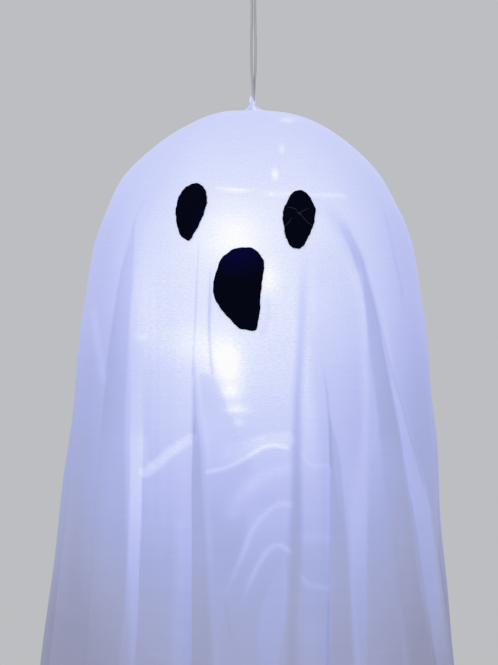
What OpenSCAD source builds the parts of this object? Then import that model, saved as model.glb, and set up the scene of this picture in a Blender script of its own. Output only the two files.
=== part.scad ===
// Hanging cloth ghost with a lit head.
// The origin is where a hook bears in the cord loop. Z points up and the face looks along -Y.

/* [Hanging loop] */
// Diameter of the loop's cord
cord_d = 2; // [1.6:0.1:2.2]
// Drop from the hook to the crown of the cloth
loop_drop = 110; // [105:1:115]
// Drop from the crown of the cloth to the knot under the head
knot_drop = 10; // [9:0.5:12]
// Length of each cut end below the knot
knot_tail = 5; // [3:0.5:7]
// Thickness of the washer above the knot
washer_t = 1.2; // [0.8:0.1:2]
// Diameter of the washer
washer_d = 16; // [13:1:22]

/* [Cloth] */
// Thickness of the cloth
cloth_t = 0.8; // [0.6:0.1:1.2]
// Height from the crown of the cloth to its hem
cloth_drop = 480; // [440:10:560]
// Radius of the folds' crests at the hem
hem_r = 158; // [146:2:180]
// Depth of the folds at the hem
fold_depth = 34; // [20:2:44]
// Height of the gathered peak round the cord
peak_h = 7; // [4:1:10]

/* [Head] */
// Outside radius of the dome
head_r = 108; // [100:1:116]
// Wall of the dome
dome_wall = 1.6; // [1.2:0.1:2.4]
// Depth of the dome from its pole to its rim
dome_depth = 64; // [58:1:72]
// Thickness of the bead round the rim
bead_d = 3; // [2:0.2:4]
// Angle by which the head hangs lower on the right
head_tilt = 4; // [0:1:6]
// Diameter of the collar round the cord hole
collar_d = 12; // [9:1:15]
// Diameter of each screw boss
boss_d = 7.5; // [6.5:0.5:10]

/* [Felt face] */
// Thickness of the felt
felt_t = 1.2; // [0.8:0.1:2]
// Width of the left eye
left_eye_w = 21; // [16:1:25]
// Width of the right eye
right_eye_w = 22.5; // [16:0.5:26]
// Height of the eyes
eye_h = 40; // [32:1:44]
// Width of the mouth
mouth_w = 34; // [26:1:40]
// Height of the mouth
mouth_h = 56.5; // [44:0.5:62]

/* [Battery case] */
// Diameter of a cell
cell_d = 14.5; // [13.5:0.5:14.5]
// Length of a cell with its nub
cell_l = 50.5; // [44:0.5:52]
// Spacing of the cells
cell_pitch = 15.5; // [15.5:0.5:17]
// Wall of the case
case_wall = 2.2; // [2:0.1:3]
// Thickness of the sliding cover
cover_t = 2; // [1.8:0.1:2.6]
// Length of the compartment for the switch
switch_room = 10.6; // [10.2:0.2:14]
// Travel of the cover before its tongues come free
cover_travel = 10; // [8:0.5:10.5]
// Diameter of a fixing screw's shank
screw_d = 2.9; // [2.5:0.1:3.5]

/* [Switch] */
// Travel of the switch knob
knob_travel = 3; // [2:0.5:3.5]
// Length of the switch knob along its travel
knob_l = 3; // [2:0.5:3.5]
// Height of the knob below its plate
knob_h = 2.2; // [1.5:0.1:3]

/* [Light string] */
// Diameter of the twin wire
wire_d = 1.8; // [1.4:0.1:2]
// Diameter of a lamp
lamp_d = 5; // [3:0.5:6]
// Length of a lamp's holder
holder_l = 8; // [6:0.5:10]

/* [Hidden] */
$fn = 64;

// Clearance between pieces that lie close, and between pieces that slide
clear = 0.3;
slide_clear = 0.12;
// Overrun of a cut past the face it goes through
over = 1;

// Cloth: stations round a ring above the brow, twice as many below it
top_stations = 32;
skirt_stations = 2 * top_stations;
// Angle of the head's arc where the cloth leaves it, and the arc between two rings
brow_angle = 62;
ring_angle = 12;
arc_rings = 5;
// The flat facets cut inside the true round by up to this angle from the centre
facet_reach = norm([ring_angle, 360 / top_stations]) / 2;
skin_r = (head_r + clear) / cos(facet_reach) + cloth_t;
crown_z = -loop_drop;
head_z = crown_z - skin_r;
brow_r = skin_r * sin(brow_angle);
brow_drop = skin_r * (1 - cos(brow_angle));
// Shares of the way down from brow to hem, and of the widening there
skirt_shares = [[0.065, 0.24], [0.19, 0.42], [0.4, 0.58], [0.67, 0.76], [1, 1]];
peak_base_share = 0.2;
neck_r = 1.55 * cord_d - clear / 2 + cloth_t;
strand_room_r = 1.2 * cord_d;

// Profile of the cloth's outer face from the peak to the hem, as radius and drop from the crown
peak_rings = [
    [neck_r, -peak_h],
    [neck_r + cloth_t, -peak_base_share * peak_h]
];
head_rings = [
    for (k = [arc_rings - 1 : -1 : 1])
        let (a = brow_angle - k * ring_angle)
            [skin_r * sin(a), skin_r * (1 - cos(a))]
];
skirt_rings = [
    [brow_r, brow_drop],
    for (s = skirt_shares)
        [brow_r + s[1] * (hem_r - brow_r), brow_drop + s[0] * (cloth_drop - brow_drop)]
];
profile = concat(peak_rings, head_rings, skirt_rings);
top_count = len(peak_rings) + len(head_rings);
drop_table = [for (p = concat(head_rings, skirt_rings)) [p[1], p[0]]];

// Folds: angle from the front at the brow and at the hem, share of the hanging length at which
// each begins, and share of the full depth
fold_shares = [
    [-48, -52, 0.05, 0.3],
    [-18, -14, 0.28, 0.22],
    [21, 21, 0.3, 0.22],
    [20, 65, 0.1, 0.3],
    [55, 84, 0.1, 0.25],
    [101.25, 101.25, 0.07, 1],
    [123.75, 123.75, 0.07, 1],
    [151.875, 151.875, 0.07, 1],
    [174.375, 174.375, 0.07, 1],
    [-168.75, -168.75, 0.12, 0.85],
    [-151.875, -151.875, 0.07, 1],
    [-118.125, -118.125, 0.07, 1],
    [-95.625, -95.625, 0.07, 1],
    [-78.75, -78.75, 0.25, 0.6]
];
fold_half_angle = 7.5;
fold_growth = 0.7;

// Felt outlines, as shares of each shape's width and height from its lower left corner
left_eye_shares = [
    [0.65, 1], [0.87, 0.95], [1, 0.78], [0.98, 0.59], [0.81, 0.33], [0.58, 0.1], [0.44, 0],
    [0.29, 0.03], [0.13, 0.13], [0.03, 0.33], [0, 0.51], [0.06, 0.71], [0.19, 0.86], [0.42, 0.97]
];
right_eye_shares = [
    [0.52, 1], [0.71, 0.97], [0.88, 0.84], [1, 0.68], [0.98, 0.53], [0.91, 0.36], [0.76, 0.18],
    [0.67, 0.08], [0.52, 0], [0.38, 0], [0.21, 0.06], [0.09, 0.21], [0.03, 0.42], [0, 0.55],
    [0.06, 0.7], [0.2, 0.86], [0.33, 0.97]
];
mouth_shares = [
    [0.5, 0.99], [0.74, 1], [0.88, 0.94], [1, 0.84], [1, 0.75], [0.98, 0.63], [0.94, 0.46],
    [0.92, 0.23], [0.86, 0.03], [0.8, 0], [0.64, 0.01], [0.5, 0.04], [0.3, 0.16], [0.1, 0.31],
    [0.03, 0.41], [0, 0.54], [0.06, 0.69], [0.14, 0.84], [0.3, 0.94], [0.4, 0.98]
];
felt_rings = 3;
felt_steps = 2;
// Centres of the felt shapes: across from the middle, and down from the crown, as shares of the head
left_eye_share = [-0.397, 0.757];
right_eye_share = [0.284, 0.806];
mouth_share = [-0.098, 1.25];

// Battery case, from its top face down and from its middle along Y
case_drop = knot_drop + washer_t + 2.4 * cord_d + knot_tail + 3 * clear + 2 * cord_d;
case_top = crown_z - case_drop;
case_corner = 3;
roof_t = case_wall;
cell_room = 0.4;
plate_t = 0.5;
spring_h = 5;
nub_d = 5.5;
nub_h = 1;
cell_edge = 0.8;
bay_w = 2 * cell_pitch + cell_d + 2 * cell_room;
bay_l = cell_l + spring_h + 2 * plate_t + clear;
bay_h = cell_d + cell_room + slide_clear;
case_w = bay_w + 2 * case_wall;
case_l = bay_l + switch_room + 3 * case_wall;
case_h = roof_t + bay_h + cover_t;
bay_y = case_l / 2 - case_wall - bay_l;
room_y = -case_l / 2 + case_wall;
groove_depth = 0.55 * case_wall;
groove_h = 0.5 * cover_t;
groove_lip = 0.3 * cover_t;
cell_z = -roof_t - slide_clear - cell_d / 2;
rib_t = cell_pitch - cell_d;
rib_h = cell_d / 4;
rib_l = bay_l - 2 * plate_t - 2 * clear;
tongue_count = 3;
tongue_l = 7.5;
tongue_step = bay_l / tongue_count;
ear_out = boss_d + 1.5;
ear_w = boss_d + 2;
ear_t = 2.6;
ear_x = case_w / 2 + ear_out / 2;
head_screw_d = 2 * screw_d;
head_screw_h = 0.7 * screw_d;
screw_l = 10;
screw_fit = 0.05;
grip_count = 5;
grip_w = 0.5 * bay_w;
grip_l = 1.2;
grip_h = 0.5;
grip_step = 2.4;

// Contact plates and springs
contact_w = 10;
contact_h = 11;
coil_d = 0.8;
coil_turns = 3.5;
coil_base_r = 4.6;
coil_tip_r = 2.4;
coil_sides = 6;
coil_rings = 8;

// Switch, board and the plate that closes their compartment
cap_t = 1.6;
post_r = 2;
switch_x = 0.3 * bay_w;
switch_w = 4.4;
switch_h = 4;
switch_l = 8.6;
knob_w = 2;
knob_foot = 1.4;
board_w = 20;
board_l = 9;
board_t = 1;
board_shift = 6;
resistor_d = 2.2;
resistor_l = 6.3;
chip_size = [4, 5, 1.5];
relief_x = -0.3 * bay_w;
relief_d = 4.4;
relief_flange_d = 6.4;
relief_flange_t = 1.2;
relief_tail = 9;

// Light string
lamp_base_d = lamp_d + 0.8;
lamp_base_t = 1;
lamp_body = 0.75 * lamp_d;
holder_d = 0.88 * lamp_d;
wire_sides = 8;

// Route of the loop's left strand, from the knot to the top of the bight
strand_route = [
    [0, -1.1, -120], [0, -1.1, -112], [0, -1.1, -104], [-0.5, -1.1, -96], [-1, -0.9, -88],
    [-1.4, -0.5, -80], [-1.5, -0.2, -72], [-1.6, 0, -64], [-1.5, 0, -56], [-1.3, 0, -48],
    [-1.2, 0, -40], [-1.2, 0, -32], [-1.8, 0, -24], [-3.2, 0, -16], [-4.6, 0, -9],
    [-5, 0, -4], [-4.3, 0, -1.5], [-2.5, 0, 0.3]
];
bight = [0, 0, 1];
// The right strand is the left one turned half round
loop_route = concat(
    strand_route,
    [bight],
    [for (k = [len(strand_route) - 1 : -1 : 0])
        let (p = strand_route[k]) [-p[0], -p[1], p[2]]]
);

// Route of the light string, from the strain relief to its last lamp
wire_route = [
    [-9.9, -29.5, -163], [-10.2, -29.5, -168], [-10.6, -29.8, -174], [-11.2, -30.4, -181],
    [-12, -31, -189], [-12.7, -31.6, -197], [-13, -32, -205], [-12, -32, -211],
    [-8.5, -31.5, -216], [-3, -31, -220],
    [3, -31, -224], [8, -31, -229], [10, -31, -235], [10.5, -31, -242], [9, -30.5, -249],
    [6, -30, -255], [2.5, -30, -261], [0, -30, -267], [-3, -30, -273], [-7, -30.5, -279],
    [-12, -31, -285], [-15.5, -31, -291], [-17, -31, -298], [-17.5, -31, -305],
    [-16.5, -31, -312], [-14, -31, -320], [-12, -31, -328]
];
// Each lamp: its point on the route, its turn from the front and its dip below level
lamp_places = [[6, 0, 18], [12, 20, 30], [17, 170, 10], [22, -12, 24], [26, 8, 62]];

// Small vector and curve helpers
function unit(v) = v / norm(v);
function curve_at(a, b, c, d, t) =
    0.5 * (2 * b + (c - a) * t + (2 * a - 5 * b + 4 * c - d) * t * t
        + (3 * b - a - 3 * c + d) * t * t * t);
function closed_curve(pts, steps) = [
    for (i = [0 : len(pts) - 1])
        let (n = len(pts), a = pts[(i + n - 1) % n], b = pts[i], c = pts[(i + 1) % n], d = pts[(i + 2) % n])
            for (k = [0 : steps - 1]) curve_at(a, b, c, d, k / steps)
];
function middle(pts) = [for (axis = [0 : len(pts[0]) - 1]) let (s = [for (p = pts) p[axis]]) mean(s)];
function mean(s) = s * [for (v = s) 1] / len(s);
function least_gap(pts, skip) = min([
    for (i = [0 : len(pts) - 1])
        for (j = [i + skip : 1 : len(pts) - 1]) norm(pts[i] - pts[j])
]);

// A closed tube swept along a path
function tube_normal(path, i) =
    let (a = path[max(0, i - 1)], b = path[min(len(path) - 1, i + 1)]) unit(b - a);
function tube_points(path, d, sides) = [
    for (i = [0 : len(path) - 1])
        let (t = tube_normal(path, i), u = unit(cross(t, [0, 1, 0])), v = cross(t, u))
            for (k = [0 : sides - 1])
                path[i] + d / 2 * (cos(360 * k / sides) * u + sin(360 * k / sides) * v)
];
function tube_faces(rings, sides) = concat(
    [[for (k = [0 : sides - 1]) k]],
    [for (i = [0 : rings - 2])
        for (k = [0 : sides - 1])
            let (a = i * sides, b = a + sides, m = (k + 1) % sides)
                each [[a + k, b + k, b + m], [a + k, b + m, a + m]]],
    [[for (k = [sides - 1 : -1 : 0]) (rings - 1) * sides + k]]
);
module tube(path, d, sides) {
    polyhedron(tube_points(path, d, sides), tube_faces(len(path), sides), convexity = 6);
}

// Triangles between ring a and the ring b below it, which may have twice the stations
function strip(a, na, b, nb) =
    na == nb ? [
        for (j = [0 : na - 1])
            let (m = (j + 1) % na)
                each [[a + j, b + m, b + j], [a + j, a + m, b + m]]
    ] :
    nb > na ? [
        for (j = [0 : na - 1])
            let (m = (j + 1) % na, u = b + 2 * j, w = b + (2 * j + 2) % nb)
                each [[a + j, u + 1, u], [a + j, a + m, u + 1], [a + m, w, u + 1]]
    ] :
    [for (f = strip(b, nb, a, na)) [f[0], f[2], f[1]]];

function turn_between(a, b) = abs(((a - b) % 360 + 540) % 360 - 180);
function fold_share(fold, angle, down) =
    let (
        middle = fold[0] + (fold[1] - fold[0]) * sqrt(down),
        beside = min(1, turn_between(angle, middle) / fold_half_angle)
    )
        fold[3] * pow(max(0, down - fold[2]) / (1 - fold[2]), fold_growth) * (1 + cos(180 * beside)) / 2;
// Depth of the folds at an angle from the front and a drop from the crown
function fold_in(angle, drop) =
    let (down = max(0, drop - brow_drop) / (cloth_drop - brow_drop))
        fold_depth * max([for (fold = fold_shares) fold_share(fold, angle, down)]);
// A point of the cloth's outer face on a ring of the profile, at an angle from the front
function cloth_point(angle, i) =
    let (r = profile[i][0] - fold_in(angle, profile[i][1]))
        [r * sin(angle), -r * cos(angle), crown_z - profile[i][1]];
// The way out of the cloth there, square to its folds
function cloth_normal(angle, i) =
    let (
        step = 360 / skirt_stations,
        above = cloth_point(angle, max(0, i - 1)),
        below = cloth_point(angle, min(len(profile) - 1, i + 1))
    )
        unit(cross(cloth_point(angle + step, i) - cloth_point(angle - step, i), above - below));
function ring_at(i, inset) =
    let (n = ring_size(i))
        [for (j = [0 : n - 1])
            let (a = 360 * j / n) cloth_point(a, i) - inset * cloth_normal(a, i)];
function ring_size(i) = i < top_count ? top_stations : skirt_stations;
function cloth_r(drop) = lookup(drop, drop_table);

function total(s, count) = count == 0 ? 0 : s[count - 1] + total(s, count - 1);
// The inner face has the outer one's triangles, so that the wall keeps its thickness in the folds
module shroud() {
    last = len(profile) - 1;
    sizes = [for (i = [0 : last]) ring_size(i)];
    starts = [for (k = [0 : last + 1]) total(sizes, k)];
    inner = starts[last + 1];
    outside = [
        for (k = [0 : last - 1]) each strip(starts[k], sizes[k], starts[k + 1], sizes[k + 1])
    ];
    color("ghostwhite")
        polyhedron(
            [for (inset = [0, cloth_t]) for (i = [0 : last]) each ring_at(i, inset)],
            concat(
                outside,
                [for (f = outside) [inner + f[0], inner + f[2], inner + f[1]]],
                strip(inner, sizes[0], 0, sizes[0]),
                strip(starts[last], sizes[last], inner + starts[last], sizes[last])
            ),
            convexity = 10
        );
}

// A point on the cloth's front, out from its face by off
function on_cloth(x, drop, off) =
    let (r = cloth_r(drop) + off) [x, -sqrt(r * r - x * x), crown_z - drop];
module felt_patch(shares, w, h, centre_share) {
    cx = centre_share[0] * head_r;
    cd = centre_share[1] * head_r;
    edge = closed_curve([for (s = shares) [cx + (s[0] - 1 / 2) * w, cd - (s[1] - 1 / 2) * h]], felt_steps);
    n = len(edge);
    mid = middle(edge);
    flat = concat(
        [mid],
        [for (k = [1 : felt_rings]) for (p = edge) mid + (p - mid) * k / felt_rings]
    );
    count = len(flat);
    back = [for (p = flat) on_cloth(p[0], p[1], clear + slide_clear)];
    front = [for (p = flat) on_cloth(p[0], p[1], clear + slide_clear + felt_t)];
    skin = concat(
        [for (j = [0 : n - 1]) [0, 1 + j, 1 + (j + 1) % n]],
        [for (k = [1 : felt_rings - 1])
            for (j = [0 : n - 1])
                let (a = 1 + (k - 1) * n, b = a + n, m = (j + 1) % n)
                    each [[a + j, b + j, b + m], [a + j, b + m, a + m]]]
    );
    rim = 1 + (felt_rings - 1) * n;
    polyhedron(
        concat(back, front),
        concat(
            [for (f = skin) [f[2], f[1], f[0]]],
            [for (f = skin) f + [count, count, count]],
            [for (j = [0 : n - 1])
                let (m = (j + 1) % n)
                    each [
                        [rim + j, rim + m, count + rim + m],
                        [rim + j, count + rim + m, count + rim + j]
                    ]]
        ),
        convexity = 4
    );
}
module left_eye() {
    color("black") felt_patch(left_eye_shares, left_eye_w, eye_h, left_eye_share);
}
module right_eye() {
    color("black") felt_patch(right_eye_shares, right_eye_w, eye_h, right_eye_share);
}
module mouth() {
    color("black") felt_patch(mouth_shares, mouth_w, mouth_h, mouth_share);
}

module hanging_loop() {
    color("silver") tube(loop_route, cord_d, wire_sides);
}

// Three wraps round the two strands, with the cut ends below
knot_z = crown_z - knot_drop;
knot_core_r = 1.1 * cord_d;
knot_wraps = 3;
module loop_knot() {
    wrap_step = 0.8 * cord_d;
    knot_h = knot_wraps * wrap_step;
    color("gainsboro") {
        translate([0, 0, knot_z - knot_h]) cylinder(h = knot_h, r = knot_core_r);
        for (k = [0 : knot_wraps - 1])
            translate([0, 0, knot_z - (k + 0.5) * wrap_step])
                rotate_extrude() translate([knot_core_r, 0]) circle(d = wrap_step);
        for (side = [-1, 1])
            translate([side * cord_d / 2, 0, knot_z - knot_h - knot_tail])
                cylinder(h = knot_tail + knot_h / 2, d = 0.9 * cord_d);
    }
}

module stop_washer() {
    color("whitesmoke")
        difference() {
            translate([0, 0, knot_z]) cylinder(h = washer_t, d = washer_d);
            translate([0, 0, knot_z - over]) cylinder(h = washer_t + 2 * over, r = strand_room_r);
        }
}

// The head and what is screwed to it hang tilted about the middle of its arc
module in_head() {
    translate([0, 0, head_z]) rotate([0, head_tilt, 0]) translate([0, 0, -head_z]) children();
}
rim_r = sqrt(head_r * head_r - (head_r - dome_depth) * (head_r - dome_depth));
module dome_shell() {
    translate([0, 0, head_z]) {
        difference() {
            sphere(r = head_r);
            sphere(r = head_r - dome_wall);
            translate([0, 0, -head_r - over])
                cylinder(h = 2 * head_r - dome_depth + over, r = head_r + over);
        }
        translate([0, 0, head_r - dome_depth])
            rotate_extrude() translate([rim_r - dome_wall / 2, 0]) circle(d = bead_d);
    }
}
// Rises from a level to the middle of the dome's wall
module up_to_wall(z) {
    intersection() {
        translate([0, 0, z]) cylinder(h = head_z + head_r - z, r = head_r);
        translate([0, 0, head_z]) sphere(r = head_r - dome_wall / 2);
        children();
    }
}
module bosses() {
    for (side = [-1, 1])
        difference() {
            up_to_wall(case_top)
                translate([side * ear_x, 0, head_z]) cylinder(h = head_r, d = boss_d);
            translate([side * ear_x, 0, case_top - over])
                cylinder(h = screw_l - ear_t + clear + over, d = screw_d + 2 * screw_fit);
        }
}
module head_dome() {
    color("aliceblue")
        difference() {
            union() {
                in_head() {
                    dome_shell();
                    bosses();
                }
                up_to_wall(knot_z + washer_t) translate([0, 0, head_z]) cylinder(h = head_r, d = collar_d);
            }
            translate([0, 0, knot_z - over])
                cylinder(h = knot_drop + 2 * over, r = strand_room_r);
        }
}

module rounded_block(w, l, h, r) {
    linear_extrude(h) {
        square([w - 2 * r, l], center = true);
        square([w, l - 2 * r], center = true);
        for (x = [-1, 1], y = [-1, 1])
            translate([x * (w / 2 - r), y * (l / 2 - r)]) circle(r = r);
    }
}
// Everything of the case is drawn from its top face down
module in_case() {
    in_head() translate([0, 0, case_top]) children();
}
module battery_case() {
    color("whitesmoke")
        in_case() {
            difference() {
                union() {
                    translate([0, 0, -case_h]) rounded_block(case_w, case_l, case_h, case_corner);
                    for (side = [-1, 1])
                        translate([side * (ear_x - case_wall), 0, -ear_t])
                            rounded_block(ear_out + 2 * case_wall, ear_w, ear_t, ear_w / 3);
                }
                translate([-bay_w / 2, bay_y, -case_h - over])
                    cube([bay_w, bay_l, case_h - roof_t + over]);
                translate([-bay_w / 2, room_y, -case_h - over])
                    cube([bay_w, switch_room, case_h - roof_t + over]);
                // The cover slides under the back wall, and its tongues run in two grooves
                translate([-bay_w / 2, bay_y + bay_l - over, -case_h - over])
                    cube([bay_w, case_wall + 2 * over, cover_t + slide_clear + over]);
                for (side = [0, 1])
                    mirror([side, 0, 0]) {
                        translate([bay_w / 2 - over, bay_y, -case_h + groove_lip])
                            cube([groove_depth + over, bay_l, groove_h]);
                        // Windows in the lip, where the tongues drop out of the slid cover
                        for (k = [0 : tongue_count - 1])
                            translate([
                                bay_w / 2 - over,
                                tongue_y(k) + cover_travel - clear,
                                -case_h - over
                            ])
                                cube([groove_depth + over, tongue_l + 2 * clear, groove_lip + 2 * over]);
                    }
                for (side = [-1, 1])
                    translate([side * ear_x, 0, -ear_t - over])
                        cylinder(h = ear_t + 2 * over, d = screw_d + 2 * clear);
            }
            // Low ribs part the cells
            for (side = [-1, 1])
                translate([side * cell_pitch / 2 - rib_t / 2, bay_y + (bay_l - rib_l) / 2, -roof_t - rib_h])
                    cube([rib_t, rib_l, rib_h + over]);
            // Corner posts carry the switch plate
            for (x = [-1, 1], y = [0, 1])
                translate([x * bay_w / 2, room_y + y * switch_room, -case_h + cap_t])
                    cylinder(h = case_h - roof_t - cap_t, r = post_r);
        }
}

function tongue_y(k) = bay_y + clear + k * tongue_step;
module battery_cover() {
    w = bay_w - 2 * slide_clear;
    l = bay_l + case_wall - slide_clear;
    y0 = bay_y + slide_clear;
    tongue_h = groove_h - 2 * slide_clear;
    color("white")
        in_case() {
            translate([-w / 2, y0, -case_h]) cube([w, l, cover_t]);
            for (k = [0 : tongue_count - 1])
                translate([
                    -bay_w / 2 - groove_depth + slide_clear,
                    tongue_y(k),
                    -case_h + groove_lip + slide_clear
                ])
                    cube([bay_w + 2 * (groove_depth - slide_clear), tongue_l, tongue_h]);
            // Grip ribs near the open end
            for (k = [0 : grip_count - 1])
                translate([-grip_w / 2, y0 + l - case_corner - grip_l - k * grip_step, -case_h - grip_h])
                    cube([grip_w, grip_l, grip_h + cover_t / 2]);
        }
}

// Three cells side by side, the middle one turned round
module battery_cells() {
    for (i = [-1 : 1])
        in_case()
            translate([i * cell_pitch, bay_y + bay_l / 2, cell_z])
                mirror([0, abs(i) == 1 ? 0 : 1, 0])
                    translate([0, -bay_l / 2 + plate_t + slide_clear, 0])
                        rotate([-90, 0, 0]) one_cell();
}
module one_cell() {
    color("darkseagreen") {
        cylinder(h = nub_h + cell_edge, d = nub_d);
        translate([0, 0, nub_h]) cylinder(h = cell_edge, d1 = cell_d - 2 * cell_edge, d2 = cell_d);
        translate([0, 0, nub_h + cell_edge]) cylinder(h = cell_l - nub_h - cell_edge, d = cell_d);
    }
}

// A cone of wire from the plate to the flat end of a cell
coil_room = bay_l - 2 * plate_t - slide_clear - cell_l;
coil_h = coil_room - coil_d - 2 * slide_clear;
coil_path = [
    for (k = [0 : coil_turns * coil_rings])
        let (t = k / (coil_turns * coil_rings), r = coil_base_r + (coil_tip_r - coil_base_r) * t)
            [r * cos(360 * k / coil_rings), r * sin(360 * k / coil_rings), coil_h * t]
];
echo(spring_gap = least_gap(coil_path, coil_rings - 1) - coil_d);
function coil_points() = [
    for (i = [0 : len(coil_path) - 1])
        let (t = tube_normal(coil_path, i), u = unit(cross(t, [0, 0, 1])), v = cross(t, u))
            for (k = [0 : coil_sides - 1])
                coil_path[i] + coil_d / 2 * (cos(360 * k / coil_sides) * u + sin(360 * k / coil_sides) * v)
];
module contact_springs() {
    color("silver")
        for (i = [-1 : 1])
            in_case()
                translate([i * cell_pitch, bay_y + bay_l / 2, cell_z])
                    mirror([0, abs(i) == 1 ? 0 : 1, 0])
                        translate([0, bay_l / 2 - plate_t - coil_d / 2 - slide_clear, 0])
                            rotate([90, 0, 0])
                                polyhedron(
                                    coil_points(),
                                    tube_faces(len(coil_path), coil_sides),
                                    convexity = 6
                                );
}
// At the front the first plate serves one cell and the second joins two; at the back the other way
module contact_plates() {
    z = cell_z - contact_h / 2;
    color("silver")
        in_case() {
            translate([-cell_pitch - contact_w / 2, bay_y, z]) cube([contact_w, plate_t, contact_h]);
            translate([-contact_w / 2, bay_y, z]) cube([cell_pitch + contact_w, plate_t, contact_h]);
            translate([-cell_pitch - contact_w / 2, bay_y + bay_l - plate_t, z])
                cube([cell_pitch + contact_w, plate_t, contact_h]);
            translate([cell_pitch - contact_w / 2, bay_y + bay_l - plate_t, z])
                cube([contact_w, plate_t, contact_h]);
        }
}

room_mid = room_y + switch_room / 2;
knob_w_slot = knob_w + 2 * slide_clear;
knob_l_slot = knob_l + knob_travel + 2 * slide_clear;
module switch_plate() {
    color("white")
        in_case()
            difference() {
                translate([-bay_w / 2 + slide_clear, room_y + slide_clear, -case_h])
                    cube([bay_w - 2 * slide_clear, switch_room - 2 * slide_clear, cap_t]);
                translate([switch_x - knob_w_slot / 2, room_mid - knob_l_slot / 2, -case_h - over])
                    cube([knob_w_slot, knob_l_slot, cap_t + 2 * over]);
                translate([relief_x, room_mid, -case_h - over])
                    cylinder(h = cap_t + 2 * over, d = relief_d + 2 * screw_fit);
            }
}
module switch_body() {
    foot = knob_foot + slide_clear;
    color("dimgray")
        in_case()
            difference() {
                translate([switch_x - switch_w / 2, room_mid - switch_l / 2, -case_h + cap_t])
                    cube([switch_w, switch_l, switch_h]);
                translate([switch_x - knob_w_slot / 2, room_mid - knob_l_slot / 2, -case_h + cap_t - over])
                    cube([knob_w_slot, knob_l_slot, foot + over]);
            }
}
module switch_knob() {
    color("black")
        in_case()
            translate([switch_x - knob_w / 2, room_mid - (knob_l + knob_travel) / 2, -case_h - knob_h]) {
                cube([knob_w, knob_l, knob_h + cap_t + knob_foot]);
                for (k = [0 : 2])
                    translate([-grip_h / 2, k * (knob_l - grip_h) / 2, 0])
                        cube([knob_w + grip_h, grip_h, knob_h / 2]);
            }
}
board_z = -case_h + cap_t + switch_h;
module circuit_board() {
    color("seagreen")
        in_case()
            translate([switch_x - board_shift - board_w / 2, room_mid - board_l / 2, board_z])
                cube([board_w, board_l, board_t]);
}
module board_parts() {
    in_case()
        translate([switch_x - board_shift, room_mid, board_z + board_t]) {
            color("tan")
                translate([-board_w / 4, -resistor_l / 2, resistor_d / 2])
                    rotate([-90, 0, 0]) cylinder(h = resistor_l, d = resistor_d);
            color("black") translate([board_w / 6, -chip_size[1] / 2, 0]) cube(chip_size);
        }
}

module fixing_screws() {
    color("silver")
        for (side = [-1, 1])
            in_case()
                translate([side * ear_x, 0, -ear_t]) {
                    cylinder(h = screw_l, d = screw_d);
                    difference() {
                        translate([0, 0, -head_screw_h]) cylinder(h = head_screw_h, d = head_screw_d);
                        for (turn = [0, 90])
                            rotate(turn)
                                translate([0, 0, -head_screw_h])
                                    cube([head_screw_d / 2, screw_d / 5, head_screw_h], center = true);
                    }
                }
}

module strain_relief() {
    color("whitesmoke")
        in_case()
            translate([relief_x, room_mid, -case_h]) {
                cylinder(h = cap_t + relief_flange_t, d = relief_d);
                translate([0, 0, cap_t + slide_clear]) cylinder(h = relief_flange_t, d = relief_flange_d);
                translate([0, 0, -relief_flange_t - slide_clear])
                    cylinder(h = relief_flange_t, d = relief_flange_d);
                translate([0, 0, -relief_tail]) cylinder(h = relief_tail, d1 = 1.5 * wire_d, d2 = relief_d);
            }
}

module light_wire() {
    color("lightgray") tube(wire_route, wire_d, wire_sides);
}
// Draws at a lamp's place, with the lamp's axis along Z
module at_lamps() {
    for (p = lamp_places)
        translate(wire_route[p[0]])
            rotate([90 + p[2], 0, p[1]]) children();
}
module lamp_holders() {
    color("white")
        at_lamps() {
            translate([0, 0, -wire_d]) cylinder(h = holder_l + wire_d, d = holder_d);
            translate([0, 0, holder_l - lamp_base_t]) cylinder(h = lamp_base_t, d = lamp_base_d);
        }
}
module led_lamps() {
    color("lightcyan")
        at_lamps()
            translate([0, 0, holder_l]) {
                cylinder(h = lamp_base_t, d = lamp_base_d);
                cylinder(h = lamp_base_t + lamp_body, d = lamp_d);
                translate([0, 0, lamp_base_t + lamp_body]) sphere(d = lamp_d);
            }
}

shroud();
left_eye();
right_eye();
mouth();
hanging_loop();
loop_knot();
stop_washer();
head_dome();
battery_case();
battery_cover();
battery_cells();
contact_springs();
contact_plates();
switch_plate();
switch_body();
switch_knob();
circuit_board();
board_parts();
fixing_screws();
strain_relief();
light_wire();
lamp_holders();
led_lamps();
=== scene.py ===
"""Looks of a hanging cloth ghost with a lit head: cloth, felt face, cord, light string and finishes.

Lengths are metres. Z points up, the face looks along -Y, and the origin is where a hook bears in the
cord loop. A drop is a depth below the crown of the cloth. A bearing is an angle from the front,
positive towards +X.
"""

import logging
import math
import random
from dataclasses import dataclass
from enum import Enum
from typing import Any, Iterable, Sequence

import bmesh
import bpy
import numpy as np
from bmesh.types import BMEdge, BMesh, BMVert
from bpy.types import Material, Mesh, Node, NodeSocket, NodeTree, Object
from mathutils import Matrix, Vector
from mathutils.bvhtree import BVHTree


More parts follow.
